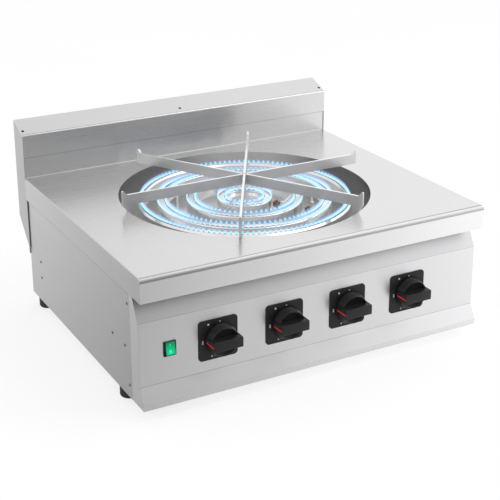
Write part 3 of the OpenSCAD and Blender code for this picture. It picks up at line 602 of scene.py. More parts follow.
@dataclass
class Finishes:
    """Every material of the object, by what it is on, with light and shade painted into the steels."""

    top: Material
    skirt: Material
    front: Material
    side: Material
    splash: Material
    rim: Material
    soffit: Material
    lid: Material
    nose: Material
    crease: Material
    glint: Material
    bar: Material
    polished: Material
    tray: Material
    well: Material
    tube: Material
    zinc: Material
    bronze: Material
    probe: Material
    brass: Material
    screw: Material
    dark: Material
    knob: Material
    plate: Material
    rubber: Material
    ceramic: Material
    red: Material
    white: Material
    grey: Material
    mint: Material
    lens: Material
    flame_core: Material
    flame_haze: Material

    @classmethod
    def build(cls, lamp: Vector) -> "Finishes":
        """Makes all the materials.

        Args:
            lamp: Where the lamp behind the switch's lens is.

        Returns:
            The finishes.
        """
        return cls(
            # The casing's brushed steels that follow, up to the bars' steel, are lit and shaded copies of
            # one steel: each is painted lighter or darker for the light that falls on and mirrors in the
            # faces it is given.
            top=BrushedSteel("steel_worktop", (0.80, 0.80, 0.80), Grain.ALONG_X, 0.27, 0.65, 0.006).build(),
            skirt=BrushedSteel("steel_skirt", (0.84, 0.84, 0.845), Grain.ALONG_X, 0.32, 0.5, 0.015).build(),
            front=BrushedSteel("steel_front", (0.75, 0.75, 0.76), Grain.ALONG_X, 0.34, 0.5, 0.015).build(),
            side=BrushedSteel("steel_side", (0.54, 0.54, 0.545), Grain.ALONG_Y, 0.34, 0.5, 0.015).build(),
            splash=BrushedSteel("steel_splash", (0.64, 0.64, 0.64), Grain.ALONG_X, 0.30, 0.6, 0.01).build(),
            rim=BrushedSteel("steel_rim", (0.64, 0.64, 0.645), Grain.ALONG_Y, 0.34, 0.5, 0.015).build(),
            # Painted shade on the console's upper slope.
            soffit=BrushedSteel("steel_soffit", (0.64, 0.64, 0.65), Grain.ALONG_X, 0.34, 0.5, 0.02).build(),
            lid=BrushedSteel("steel_lid", (0.74, 0.74, 0.74), Grain.ALONG_X, 0.32, 0.5, 0.01).build(),
            # Painted darker band for the reflection in the middle of the worktop's rolled front edge.
            nose=BrushedSteel("steel_nose", (0.52, 0.52, 0.52), Grain.ALONG_X, 0.28, 0.3, 0.01).build(),
            # Painted shade lines along creases and folds, and the painted shadow under the lid sheet.
            crease=BrushedSteel("steel_crease", (0.44, 0.44, 0.45), Grain.ALONG_X, 0.3, 0.3, 0.01).build(),
            # Painted highlight along the bright side of the console's folds.
            glint=BrushedSteel("steel_glint", (0.95, 0.95, 0.95), Grain.ALONG_X, 0.3, 0.3, 0.01).build(),
            bar=BrushedSteel("steel_bar", (0.76, 0.76, 0.76), Grain.ALONG_X, 0.42, 0.2, 0.04).build(),
            # The polished rings and the tray with its studs glow a little: painted light for the flames'
            # light on them.
            polished=SpunSteel("steel_polished", (0.90, 0.90, 0.905), 0.16, (0.78, 0.77, 0.76), 0.3, 1.0,
                               0.1).build(),
            tray=SpunSteel("steel_tray", (0.88, 0.88, 0.88), 0.2, (0.5, 0.5, 0.49), 0.3, 0.9, 0.06).build(),
            # The well's wall gets a painted highlight where it looks to the front left.
            well=SpunSteel("steel_well", (0.30, 0.30, 0.30), 0.38, (0.23, 0.23, 0.23), 0.35, 1.0, 0.0,
                           0.7).build(),
            tube=SpunSteel("steel_tube", (0.58, 0.58, 0.59), 0.3, (0.44, 0.43, 0.42), 0.3).build(),
            bronze=SpunSteel("bronze", (0.42, 0.31, 0.19), 0.35, (0.25, 0.18, 0.12), 0.4).build(),
            zinc=SpunSteel("zinc_sheet", (0.56, 0.57, 0.58), 0.45, (0.48, 0.49, 0.5), 0.5).build(),
            # Painted glow on the bright thermocouples.
            probe=SpunSteel("brass_bright", (0.90, 0.84, 0.70), 0.2, (0.78, 0.70, 0.52), 0.3, 1.0,
                            0.1).build(),
            brass=SpunSteel("brass", (0.76, 0.60, 0.33), 0.24, (0.56, 0.42, 0.22), 0.4).build(),
            screw=SpunSteel("screw_dark", (0.22, 0.22, 0.22), 0.35, (0.14, 0.13, 0.12), 0.4).build(),
            # Near-black for the ports' bores, the screws' recesses, the lid's and flue box's insides and
            # the strip under the skirt: painted shade.
            dark=Moulded("hole_dark", (0.012, 0.012, 0.013), 0.8).build(),
            knob=Moulded("knob_thermoset", (0.015, 0.015, 0.016), 0.42, 0.00004, 0.4, 0.34).build(),
            plate=Moulded("plate_plastic", (0.014, 0.014, 0.015), 0.5, 0.00002, 0.4, 0.36).build(),
            rubber=Moulded("foot_rubber", (0.018, 0.018, 0.019), 0.62, 0.00006, 0.4).build(),
            ceramic=Moulded("ceramic", (0.82, 0.80, 0.76), 0.25, 0.00001, 0.05).build(),
            # The red line glows a little: painted light that keeps it bright.
            red=Print("paint_red", (0.86, 0.015, 0.03), 0.16).build(),
            white=Print("print_white", (0.86, 0.86, 0.84)).build(),
            grey=Print("print_grey", (0.48, 0.48, 0.48)).build(),
            mint=Print("print_lit", (0.50, 0.95, 0.72), 0.25).build(),
            lens=LitLens("switch_lens", lamp, 24 * MM).build(),
            flame_core=Flame("flame_core", (0.07, 0.42, 0.95), (0.10, 0.50, 1.0), (0.40, 0.50, 1.0),
                             2.7, 0.45).build(),
            flame_haze=Flame("flame_haze", (0.74, 0.94, 1.0), (0.34, 0.66, 1.0), (0.50, 0.42, 1.0),
                             1.5, 0.95, 0.94).build(),
        )


class Mesher:
    """Collects solids in one mesh, each with its own material."""

    def __init__(self) -> None:
        """Starts an empty mesh."""
        self.bm = bmesh.new()
        self.materials: list[Material] = []

    def slot(self, material: Material) -> int:
        """Index of a material, which is added when it is new.

        Args:
            material: The material.

        Returns:
            Its index in the mesh.
        """
        if material not in self.materials:
            self.materials.append(material)
        return self.materials.index(material)

    def face(self, corners: Sequence[bmesh.types.BMVert], material: Material) -> None:
        """Adds one face between vertices of the mesh."""
        self.bm.faces.new(corners).material_index = self.slot(material)

    def prism(self, outline: Sequence[Point2], axis: Axis, low: float, high: float,
              material: Material) -> None:
        """Adds a closed outline pulled along an axis.

        Args:
            outline: Points in the plane of the two other axes, in the order X, Y, Z.
            axis: Direction of the pull.
            low: Lower station.
            high: Upper station.
            material: Material of all its faces.
        """
        count = len(outline)
        verts = []
        for station in (low, high):
            for a, b in outline:
                place = {Axis.X: (station, a, b), Axis.Y: (a, station, b), Axis.Z: (a, b, station)}[axis]
                verts.append(self.bm.verts.new(place))
        rings = [list(range(count))[::-1], list(range(count, 2 * count))]
        rings += [[i, (i + 1) % count, count + (i + 1) % count, count + i] for i in range(count)]
        for ring in rings:
            self.face([verts[i] for i in ring], material)

    def lathe(self, profile: Sequence[Point2], centre: Sequence[float], axis: Axis, segments: int,
              material: Material, ring: bool = False) -> None:
        """Adds a turned solid.

        Args:
            profile: Radius and height of each point, from one end to the other, or round for a ring.
            centre: Point on the axis that heights are measured from.
            axis: The axis of turning.
            segments: Steps round the axis.
            material: Material of all its faces.
            ring: Whether the profile closes on itself.
        """
        loops = []
        for radius, height in profile:
            if radius < 1e-7:
                loops.append([self.bm.verts.new(self.spin(0.0, 0.0, height, centre, axis))])
                continue
            loops.append([
                self.bm.verts.new(self.spin(radius, 2 * math.pi * i / segments, height, centre, axis))
                for i in range(segments)
            ])
        pairs = list(zip(loops, loops[1:]))
        if ring:
            pairs.append((loops[-1], loops[0]))
        for one, two in pairs:
            for i in range(segments):
                j = (i + 1) % segments
                corners = [one[i % len(one)], one[j % len(one)], two[j % len(two)], two[i % len(two)]]
                unique = list(dict.fromkeys(corners))
                if len(unique) > 2:
                    self.face(unique, material)
        if not ring:
            for loop in (loops[0], loops[-1]):
                if len(loop) > 2:
                    self.face(loop, material)

    @staticmethod
    def spin(radius: float, angle: float, height: float, centre: Sequence[float], axis: Axis) -> Vector:
        """Point at a radius and an angle round an axis.

        Args:
            radius: Distance from the axis.
            angle: Angle in radians.
            height: Distance from the centre along the axis.
            centre: Point on the axis.
            axis: The axis.

        Returns:
            The point.
        """
        a = radius * math.cos(angle)
        b = radius * math.sin(angle)
        offset = {Axis.X: (height, a, b), Axis.Y: (a, height, b), Axis.Z: (a, b, height)}[axis]
        return Vector(centre) + Vector(offset)

    def tube(self, path: Sequence[Vector], radius: float, material: Material,
             sides: int = 12) -> None:
        """Adds a round bar along a path.

        Args:
            path: Points of the centre line.
            radius: Radius of the bar.
            material: Material of all its faces.
            sides: Sides of its section.
        """
        loops = []
        side = Vector((0, 0, 1)).cross(path[1] - path[0])
        if side.length < 1e-9:
            side = Vector((1, 0, 0))
        for index, point in enumerate(path):
            ahead = path[min(index + 1, len(path) - 1)] - path[max(index - 1, 0)]
            ahead.normalize()
            side = (side - ahead * side.dot(ahead)).normalized()
            up = ahead.cross(side)
            loops.append([
                self.bm.verts.new(point + radius * (math.cos(2 * math.pi * i / sides) * side
                                                    + math.sin(2 * math.pi * i / sides) * up))
                for i in range(sides)
            ])
        for one, two in zip(loops, loops[1:]):
            for i in range(sides):
                j = (i + 1) % sides
                self.face([one[i], one[j], two[j], two[i]], material)
        for loop in (loops[0], loops[-1]):
            self.face(loop, material)

    def object(self, name: str, smooth: float = 35.0, bevel: float = 0.0, segments: int = 2,
               bevel_angle: float = 40.0) -> Piece:
        """Ends the mesh and makes its object.

        Args:
            name: Name of the object.
            smooth: Angle in degrees under which edges shade smooth.
            bevel: Width of the rounded edges, in metres.
            segments: Steps of the rounded edges.
            bevel_angle: Angle in degrees over which an edge is rounded.

        Returns:
            The new object, linked to the scene.
        """
        bmesh.ops.recalc_face_normals(self.bm, faces=self.bm.faces)
        mesh = bpy.data.meshes.new(name)
        self.bm.to_mesh(mesh)
        self.bm.free()
        for material in self.materials:
            mesh.materials.append(material)
        piece = linked(name, mesh)
        if bevel > 0:
            modifier = piece.modifiers.new("edges", "BEVEL")
            modifier.width = bevel
            modifier.segments = segments
            modifier.limit_method = "ANGLE"
            modifier.angle_limit = math.radians(bevel_angle)
            settle(piece)
        shade(piece, smooth)
        return piece


def settle(piece: Piece) -> None:
    """Applies every modifier of a piece to its mesh.

    Args:
        piece: The piece.
    """
    bpy.context.view_layer.update()
    graph = bpy.context.evaluated_depsgraph_get()
    evaluated = piece.evaluated_get(graph)
    mesh = bpy.data.meshes.new_from_object(evaluated, depsgraph=graph)
    piece.modifiers.clear()
    piece.data = mesh


def shade(piece: Piece, smooth: float) -> None:
    """Shades a piece smooth, with sharp edges over an angle in degrees."""
    piece.data.shade_smooth()
    piece.data.set_sharp_from_angle(angle=math.radians(smooth))


def weigh_normals(piece: Piece) -> None:
    """Lets the large faces keep flat reflections beside their rounded edges.

    Args:
        piece: The piece.
    """
    modifier = piece.modifiers.new("weigh", "WEIGHTED_NORMAL")
    modifier.mode = "FACE_AREA"
    modifier.keep_sharp = True
    settle(piece)


def lay_grain(piece: Piece, grain: Grain) -> None:
    """Adds the UV map that turns reflections across the brushing.

    Args:
        piece: The piece, with its place in its mesh.
        grain: Direction of the brushing.
    """
    mesh = piece.data
    layer = mesh.uv_layers.get("grain") or mesh.uv_layers.new(name="grain")
    along = Vector([1.0 if i == grain.value else 0.0 for i in range(3)])
    spare = Vector((0.0, 0.0, 1.0)) if grain is not Grain.ALONG_Z else Vector((1.0, 0.0, 0.0))
    for polygon in mesh.polygons:
        across = polygon.normal.cross(along)
        if across.length < 0.2:
            across = polygon.normal.cross(spare)
        across.normalize()
        other = across.cross(polygon.normal)
        for loop in polygon.loop_indices:
            place = mesh.vertices[mesh.loops[loop].vertex_index].co
            layer.data[loop].uv = (place.dot(across), place.dot(other))


def set_rise(piece: Piece, low: float, height: float) -> None:
    """Stores how far up a flame each of its points lies, from 0 to 1.

    Args:
        piece: The flame piece.
        low: Height of the flame's root.
        height: Height of the flame over its root.
    """
    attribute = piece.data.attributes.new("rise", "FLOAT", "POINT")
    values = [max(0.0, min(1.0, (vert.co.z - low) / height)) for vert in piece.data.vertices]
    attribute.data.foreach_set("value", values)


def dress(piece: Piece, body: str, slot: str = "", *nodes: str) -> Piece:
    """Ties a finished piece to its body and hides the nodes that it stands for.

    Args:
        piece: The piece.
        body: Name of the body it moves with.
        slot: Material slot of the record, empty for prints and flames, which have none; not used.
        nodes: Nodes that it replaces.

    Returns:
        The same piece.
    """
    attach(piece, body)
    if nodes:
        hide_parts(*nodes)
    LOG.info("%s: %d faces on %s", piece.name, len(piece.data.polygons), body)
    return piece


EdgeRule = Callable[[Vector, Vector, float], float]
# What an edge rule gives for an edge that keeps its plain cut radius.
KEEP = -1.0
# Share of a direction that lies along an axis, over which an edge counts as parallel to it.
STRAIGHT = 0.99
# Height of a normal under which a face counts as upright.
UPRIGHT = 0.03


@dataclass
class NodeCopy:
    """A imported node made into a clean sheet: merged, its edges rounded, its finish on.

    Attributes:
        node: Name of the node.
        material: Its finish.
        slot: Material slot of the record.
        grain: Direction of the brushing, or None where the finish has no grain.
        body: Body that it moves with.
        edge: Radius of the cut edges in metres.
        rule: Gives an edge's radius in metres from its middle, its direction and its angle.
        smooth: Angle in degrees under which edges shade smooth.
        flat: Angle in degrees under which two faces are made one.
        bend: Angle in degrees under which an edge of a curved face isn't rounded.
        cut: Angle in degrees over which an edge without a rule is rounded.
        segments: Steps of a rounded edge.
    """

    node: str
    material: Material
    slot: str
    grain: Optional[Grain] = None
    body: str = ROOT_BODY
    edge: float = 0.25 * MM
    rule: Optional[EdgeRule] = None
    smooth: float = 34.0
    flat: float = 0.4
    bend: float = 24.0
    cut: float = 50.0
    segments: int = 3

    def build(self, frame: dict) -> Piece:
        """Makes the piece and hides the node.


        Returns:
            The dressed piece.
        """
        bm = bmesh.new()
        bm.from_mesh(frame["nodes"][self.node].data)
        bmesh.ops.remove_doubles(bm, verts=bm.verts, dist=MERGE_DISTANCE)
        bmesh.ops.dissolve_limit(bm, angle_limit=math.radians(self.flat), verts=bm.verts, edges=bm.edges)
        widths = self.edge_widths(bm)
        largest = max(widths.values(), default=0.0)
        if largest > 0:
            layer = bm.edges.layers.float.new("bevel_weight_edge")
            for edge in bm.edges:
                edge[layer] = widths.get(edge.index, 0.0) / largest
        mesh = bpy.data.meshes.new(self.node + "_sheet")
        bm.to_mesh(mesh)
        bm.free()
        mesh.materials.append(self.material)
        piece = linked(self.node + "_dressed", mesh)
        if largest > 0:
            modifier = piece.modifiers.new("edges", "BEVEL")
            modifier.limit_method = "WEIGHT"
            modifier.offset_type = "OFFSET"
            modifier.width = largest
            modifier.segments = self.segments
            modifier.use_clamp_overlap = True
            settle(piece)
        shade(piece, self.smooth)
        weigh_normals(piece)
        if self.grain is not None:
            lay_grain(piece, self.grain)
        return dress(piece, self.body, self.slot, self.node)

    def edge_widths(self, bm: bmesh.types.BMesh) -> dict[int, float]:
        """Finds the radius of each edge to round.

        Args:
            bm: The merged mesh of the node.

        Returns:
            The radius in metres by the edge's index.
        """
        bm.edges.index_update()
        widths = {}
        for edge in bm.edges:
            if len(edge.link_faces) != 2:
                continue
            angle = edge.calc_face_angle(0.0)
            if angle < math.radians(self.bend):
                continue
            first, last = (vert.co for vert in edge.verts)
            width = self.edge if angle > math.radians(self.cut) else 0.0
            if self.rule is not None:
                ruled = self.rule((first + last) / 2, (last - first).normalized(), angle)
                width = ruled if ruled >= 0 else width
            if width > 0:
                widths[edge.index] = width
        return widths


@dataclass
class Casing:
    """The sheet-metal body: worktop, console, side and rear panels, flue box and base.

    Every edge rule takes an edge's middle, its direction and its angle, and gives the radius in metres, or
    KEEP for the plain cut edge. Sizes are in millimetres.

    Attributes:
        layout: Shared places.
        finishes: Every material.
        sheet: Thickness of the sheet.
        fold: Outer radius of the console's folds.
        end: Radius of the console's upright ends.
        hem: Radius of the console's foot.
        foot: Depth that the console's foot edge stays before, and how far under the worktop it lies.
        folds_to: Depth behind the front edge that the console's folds stay before.
        ends_to: Depth that its upright ends stay before.
        face_to: Depth that the folds of its face stay before.
        lip_to: Depth that the folds of its foot lip stay before.
        recess: Depths between which its upper slope lies.
        slope: Tilt of that slope, as its normal's height.
        corner: Radius of the skirt's upright corners.
        rim: Radius of the opening's edge.
        bore: Radii between which that edge lies.
        opening: Radius from the burner's middle that takes in the opening's wall.
        nose: How far back and down the worktop's rolled front edge reaches.
        roll: Tilts of its painted darker band, as the normal's height; painted shade lines lie beside it.
        skirt_h: Height of the worktop's skirt.
        inset: How far the joints' strips end before the sides.
        lid_shadow: Lower and upper edge of the shadow under the lid sheet, over the worktop.
        upstand_fold: Radius of the fold at the upstand's foot.
        skirt_shadow: Height of the shadow under the skirt.
        flange: Width and height of the flue box's side flanges.
        proud: How far a shadow strip stands out of its sheet.
        sunk: How far it lies in it.
    """

    layout: Layout
    finishes: Finishes
    sheet: float = 1.5
    fold: float = 2.6
    end: float = 2.2
    hem: float = 1.0
    foot: tuple[float, float] = (8.0, 260.0)
    folds_to: float = 52.0
    ends_to: float = 56.0
    face_to: float = 47.0
    lip_to: float = 12.0
    recess: tuple[float, float] = (20.0, 49.0)
    slope: float = 0.44
    corner: float = 1.2
    rim: float = 1.4
    bore: tuple[float, float] = (277.0, 278.6)
    opening: float = 282.0
    nose: float = 10.5
    roll: tuple[float, float] = (0.35, 0.88)
    skirt_h: float = 51.0
    inset: float = 1.6
    lid_shadow: tuple[float, float] = (47.2, 49.2)
    upstand_fold: float = 1.1
    skirt_shadow: float = 3.2
    flange: tuple[float, float] = (8.0, 104.0)
    proud: float = 0.15
    sunk: float = 0.05

    def build(self, frame: dict) -> None:
        """Makes every panel.
        """
        f = self.finishes
        slot = "brushed_steel_body"
        top = NodeCopy("worktop", f.top, "brushed_steel_top", Grain.ALONG_X,
                       rule=self.worktop_rule).build(frame)
        self.paint(top, [f.top, f.skirt, f.splash, f.well, f.rim, f.nose, f.crease], self.worktop_part)
        self.joints()
        console = NodeCopy("front_console", f.front, slot, Grain.ALONG_X,
                           rule=self.console_rule).build(frame)
        self.paint(console, [f.front, f.glint, f.crease, f.soffit], self.console_part)
        for node in ("left_side_panel", "right_side_panel"):
            NodeCopy(node, f.side, slot, Grain.ALONG_Y).build(frame)
        cover = NodeCopy("flue_cover", f.splash, slot, Grain.ALONG_X, rule=self.cover_rule).build(frame)
        self.paint(cover, [f.splash, f.lid, f.skirt, f.dark, f.crease], self.cover_part)
        box = NodeCopy("flue_box", f.side, slot, Grain.ALONG_X, rule=self.flue_rule).build(frame)
        self.paint(box, [f.side, f.dark], self.box_part)
        NodeCopy("rear_panel", f.side, slot, Grain.ALONG_X).build(frame)
        for node in ("base_panel", "burner_frame", "tube_bracket"):
            NodeCopy(node, f.zinc, "galvanised_sheet").build(frame)

    def paint(self, piece: Piece, materials: Sequence[Material],
              choose: Callable[[Face], Material]) -> None:
        """Gives the faces of a sheet different finishes, which paints light and shade on it.

        Args:
            piece: The sheet, with its first finish in place.
            materials: The finishes, the first one being there already.
            choose: Gives the finish of a face.
        """
        for material in materials[1:]:
            piece.data.materials.append(material)
        for polygon in piece.data.polygons:
            polygon.material_index = materials.index(choose(polygon))

    def worktop_rule(self, middle: Vector, way: Vector, angle: float) -> float:
        """Softer upright corners on the skirt and round the opening's rim.

        Args:
            middle: The edge's middle.
            way: Its direction.
            angle: Its angle in radians.

        Returns:
            Its radius in metres, or KEEP.
        """
        lay = self.layout
        if abs(way.z) > STRAIGHT and abs(middle.x) > lay.half_w - 1 * MM:
            return self.corner * MM
        low, high = self.bore
        at_rim = low < math.hypot(middle.x, middle.y - lay.burner.y) / MM < high
        return self.rim * MM if at_rim and abs(middle.z - lay.top_z) < 0.1 * MM else KEEP

    def console_rule(self, middle: Vector, way: Vector, angle: float) -> float:
        """Wide folds across the console and down its ends, and a softer foot.

        Args:
            middle: The edge's middle.
            way: Its direction.
            angle: Its angle in radians.

        Returns:
            Its radius in metres, or KEEP.
        """
        lay = self.layout
        depth = (middle.y - lay.front_y) / MM
        if abs(way.x) > STRAIGHT and angle < math.radians(60) and depth < self.folds_to:
            return self.fold * MM
        at_end = abs(abs(middle.x) - lay.half_body) < 0.4 * MM
        if at_end and depth < self.ends_to and abs(way.x) < 0.1:
            return self.end * MM
        before, under = self.foot
        at_foot = abs(way.x) > STRAIGHT and depth < before and middle.z < lay.top_z - under * MM
        return self.hem * MM if at_foot else KEEP

    def cover_rule(self, middle: Vector, way: Vector, angle: float) -> float:
        """Wider folds along the lid sheet's lower edge and lip."""
        return 0.6 * MM if abs(way.x) > STRAIGHT and angle > math.radians(60) else KEEP

    def flue_rule(self, middle: Vector, way: Vector, angle: float) -> float:
        """Folds where the slanted sheet meets the rear wall and the rear panel."""
        return 2.0 * MM if abs(way.x) > STRAIGHT and angle < math.radians(50) else KEEP

    def worktop_part(self, face: Face) -> Material:
        """Painted light and shade on a worktop face: nose, creases beside it, upstand, well's rim, side or
        skirt.

        Args:
            face: The face.

        Returns:
            Its finish.
        """
        lay = self.layout
        f = self.finishes
        normal, centre = face.normal, face.center
        depth = (centre.y - lay.front_y) / MM
        below = (lay.top_z - centre.z) / MM
        rolled = depth < self.nose and below < self.nose and normal.y < -0.1
        # Painted darker band on the roll's middle, painted shade lines beside it.
        if rolled and UPRIGHT < normal.z < 1 - UPRIGHT:
            return f.nose if self.roll[0] < normal.z < self.roll[1] else f.crease
        if abs(normal.z) > 0.6:
            return f.top
        if below < -1:
            return f.splash
        # The collar in the opening takes the well's darker steel: painted shade.
        if math.hypot(centre.x, centre.y - lay.burner.y) / MM < self.opening:
            return f.well if below > self.sheet else f.top
        if abs(normal.x) > 0.8:
            return f.rim
        return f.skirt if below > 8 else f.top

    def console_part(self, face: Face) -> Material:
        """Finish of a console face: plain, a fold's painted highlight or shade line, or the upper slope's
        painted shade.

        Args:
            face: The face.

        Returns:
            Its finish.
        """
        f = self.finishes
        lean = face.normal.z
        depth = (face.center.y - self.layout.front_y) / MM
        # Painted shade on the upper slope.
        if lean > self.slope and depth < self.recess[1]:
            return f.soffit if depth > self.recess[0] else f.front
        if face.normal.y > -0.8 or depth > self.face_to or not UPRIGHT < abs(lean) < self.slope:
            return f.front
        # Painted highlight and painted shade lines along the folds.
        if lean < 0:
            return f.glint if depth > self.lip_to else f.front
        return f.glint if lean < 0.2 else f.crease

    def cover_part(self, face: Face) -> Material:
        """Finish of a lid face: the sheet's front, the top, the lip's painted bands or the painted shade
        inside.

        Args:
            face: The face.

        Returns:
            Its finish.
        """
        lay = self.layout
        f = self.finishes
        normal, centre = face.normal, face.center
        if normal.z > 0.9:
            return f.lid
        lip = centre.y < lay.splash_y + 6 * MM and centre.z > lay.top_z + 90 * MM
        # The lip's painted shade line and its lighter band.
        if lip and normal.y < -0.1 and normal.z > 0.08:
            return f.crease if normal.z > 0.62 else f.skirt
        # Painted shade on the faces inside.
        inside = centre.y > lay.splash_y + 1 * MM and abs(centre.x) < lay.half_w - 1 * MM
        return f.dark if inside and normal.y < 0.7 else f.splash

    def box_part(self, face: Face) -> Material:
        """Finish of a flue box face: plain outside, painted shade inside.

        Args:
            face: The face.

        Returns:
            Its finish.
        """
        lay = self.layout
        centre = face.center
        to_middle = Vector((-centre.x, lay.splash_y + 30 * MM - centre.y, 0.0))
        inside = abs(centre.x) < lay.half_w - 1 * MM and centre.z > lay.top_z - 90 * MM
        inward = face.normal.dot(to_middle) > 0 or face.normal.z > 0.3
        # Painted shade on the inward faces.
        return self.finishes.dark if inside and inward else self.finishes.side

    def joints(self) -> Piece:
        """Shadows under the lid sheet and the skirt, the upstand's fold and the flue box's side flanges.

        Returns:
            The dressed piece.
        """
        lay = self.layout
        f = self.finishes
        mesher = Mesher()
        face = lay.splash_y + self.sheet * MM
        reach = lay.half_w - self.inset * MM
        low, high = (lay.top_z + height * MM for height in self.lid_shadow)
        shadow = rectangle((face - self.proud * MM, low), (face + self.sunk * MM, high))
        mesher.prism(shadow, Axis.X, -reach, reach, f.crease)
        # Fillet at the upstand's foot, in the darker side steel: a painted shade line.
        fold = mm([(-self.upstand_fold, 0.02), (self.sunk, 0.02), (self.sunk, self.upstand_fold)],
                  face, lay.top_z)
        mesher.prism(fold, Axis.X, -reach, reach, f.side)
        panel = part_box("left_side_panel")[0]
        foot = lay.top_z - self.skirt_h * MM
        flange_w, flange_h = self.flange
        for side in (-1, 1):
            # Near-black strip under the skirt: painted shadow.
            inner, outer = side * (-panel[0] - self.sunk * MM), side * (-panel[0] + self.proud * MM)
            line = rectangle((inner, foot), (outer, foot - self.skirt_shadow * MM))
            mesher.prism(line[::side], Axis.Y, panel[1] + 1 * MM, lay.splash_y - 1 * MM, f.dark)
            near, far = side * (lay.half_w - flange_w * MM), side * reach
            tab = rectangle((near, lay.splash_y + 0.4 * MM), (far, lay.splash_y + 1.4 * MM))
            mesher.prism(tab[::side], Axis.Z, foot - flange_h * MM, foot, f.side)
        piece = mesher.object("splash_joints", 30)
        lay_grain(piece, Grain.ALONG_X)
        return dress(piece, ROOT_BODY, "brushed_steel_top")


@dataclass(frozen=True)
class Ring:
    """One ring burner.

    Attributes:
        number: Its number from the middle.
        rows: Which way each row of ports faces, and the row's radius in millimetres.
    """

    number: int
    rows: tuple[tuple[Row, float], ...]


@dataclass
class Burner:
    """Well, tray, ring channels with their ports, feed tubes and flames.

    Sizes are in millimetres.

    Attributes:
        layout: Shared places.
        finishes: Every material.
        pitch: Distance between neighbouring ports.
        port_r: Radius of a port's lip.
        chamfer: How far the ports in a ring's slanted sides lie under the worktop.
        slope_foot: Depth under the worktop over which a ring's folds are rounded.
        lean_up: Lean of the ports of an upright row, outward beside upward.
        lean_side: Lean of the ports of the other rows.
        flame_h: Height of a flame.
        flame_r: Largest radius of a flame.
        outer_share: Size of the flames of an outward row beside the others.
        veil_h: Height of the glow over a row of flames.
        veil_w: Thickness of the glow.
        veil_lean: How far its top leans to the side that its row faces.
        veil_sink: How far it starts under the ports of a slanted side.
        rings: The four rings from the middle.
    """

    layout: Layout
    finishes: Finishes
    pitch: float = 11.6
    port_r: float = 2.1
    chamfer: float = 14.0
    slope_foot: float = 17.0
    lean_up: float = 0.35
    lean_side: float = 0.55
    flame_h: float = 8.4
    flame_r: float = 2.3
    outer_share: float = 0.62
    veil_h: float = 13.0
    veil_w: float = 1.0
    veil_lean: float = 1.5
    veil_sink: float = 0.5
    rings: tuple[Ring, ...] = (
        Ring(1, ((Row.INWARD, 43), (Row.OUTWARD, 59))),
        Ring(2, ((Row.INWARD, 111), (Row.OUTWARD, 127))),
        Ring(3, ((Row.INWARD, 176), (Row.OUTWARD, 192))),
        Ring(4, ((Row.UPRIGHT, 230),)),
    )

    def build(self, frame: dict) -> None:
        """Makes every piece of the burner.
        """
        f = self.finishes
        NodeCopy("burner_well", f.well, "dark_heated_steel", smooth=40).build(frame)
        NodeCopy("spill_tray", f.tray, "polished_steel", smooth=40).build(frame)
        NodeCopy("ring_studs", f.tray, "polished_steel", smooth=50).build(frame)
        for ring in self.rings:
            NodeCopy(f"burner_ring_{ring.number}", f.polished, "polished_steel", edge=0.8 * MM,
                     smooth=50, rule=self.ring_rule).build(frame)
            NodeCopy(f"mixing_tube_{ring.number}", f.tube, "tube_steel", smooth=50).build(frame)
            self.ports(ring)
            for row, radius in ring.rows:
                self.teeth(ring, row, radius)
            self.veil(ring)

    def ring_rule(self, middle: Vector, way: Vector, angle: float) -> float:
        """Rounds the chamfers of the ring tops."""
        below = (self.layout.top_z - middle.z) / MM
        return 1.0 * MM if below < self.slope_foot and angle < math.radians(60) else KEEP

    def stations(self, rows: Iterable[tuple[Row, float]]) -> list[tuple[Vector, Vector]]:
        """Works out where the ports of some rows are.

        Args:
            rows: Which way each row faces, and its radius.

        Returns:
            Place and direction of every port.
        """
        result = []
        for row, radius in rows:
            upright = row is Row.UPRIGHT
            drop = RING_DROP if upright else self.chamfer
            lean = self.lean_up if upright else self.lean_side * row.value
            count = round(2 * math.pi * radius / self.pitch)
            for index in range(count):
                out = turn(360 * (index + 0.5) / count)
                place = self.layout.burner + out * radius * MM - Vector((0, 0, drop * MM))
                result.append((place, (out * lean + Vector((0, 0, 1))).normalized()))
        return result

    def ports(self, ring: Ring) -> Piece:
        """Makes the raised lips of a ring's ports, with a near-black disc in each bore as painted shade.

        Args:
            ring: The ring.

        Returns:
            One piece with every port.
        """
        seed = Mesher()
        lip = self.port_r * MM
        bore = lip * 0.62
        seed.lathe([(lip, -0.6 * MM), (lip, 0.25 * MM), (lip * 0.85, 0.5 * MM), (bore, 0.45 * MM),
                    (bore, -0.6 * MM)], (0, 0, 0), Axis.Z, 8, self.finishes.polished, ring=True)
        # Near-black disc in each bore: painted shade.
        seed.lathe([(bore, -0.3 * MM), (0.0, -0.3 * MM)], (0, 0, 0), Axis.Z, 8, self.finishes.dark)
        part = seed.object("port_seed", 60)
        piece = scatter(f"ring_{ring.number}_ports", part, self.stations(ring.rows))
        return dress(piece, ROOT_BODY, "polished_steel")

    def teeth(self, ring: Ring, row: Row, radius: float) -> Piece:
        """One row of pointed flames, lower where they lean outward under the pot.

        Args:
            ring: The ring.
            row: Which way the row faces.
            radius: Radius of the row in millimetres.

        Returns:
            The piece.
        """
        share = self.outer_share if row is Row.OUTWARD else 1.0
        top = self.flame_h * share * MM
        steps = 7
        profile = []
        for index in range(steps + 1):
            rise = index / steps
            bulge = math.sin(math.pi * min(1.0, 0.22 + 0.78 * rise)) ** 0.8 if rise < 1 else 0.0
            profile.append((self.flame_r * share * bulge * MM, rise * top))
        seed = Mesher()
        seed.lathe(profile, (0, 0, 0), Axis.Z, 8, self.finishes.flame_core)
        part = seed.object("flame_seed", 80)
        set_rise(part, 0.0, top)
        name = f"ring_{ring.number}_flames_{row.name.lower()}"
        return self.tie(scatter(name, part, self.stations([(row, radius)])))

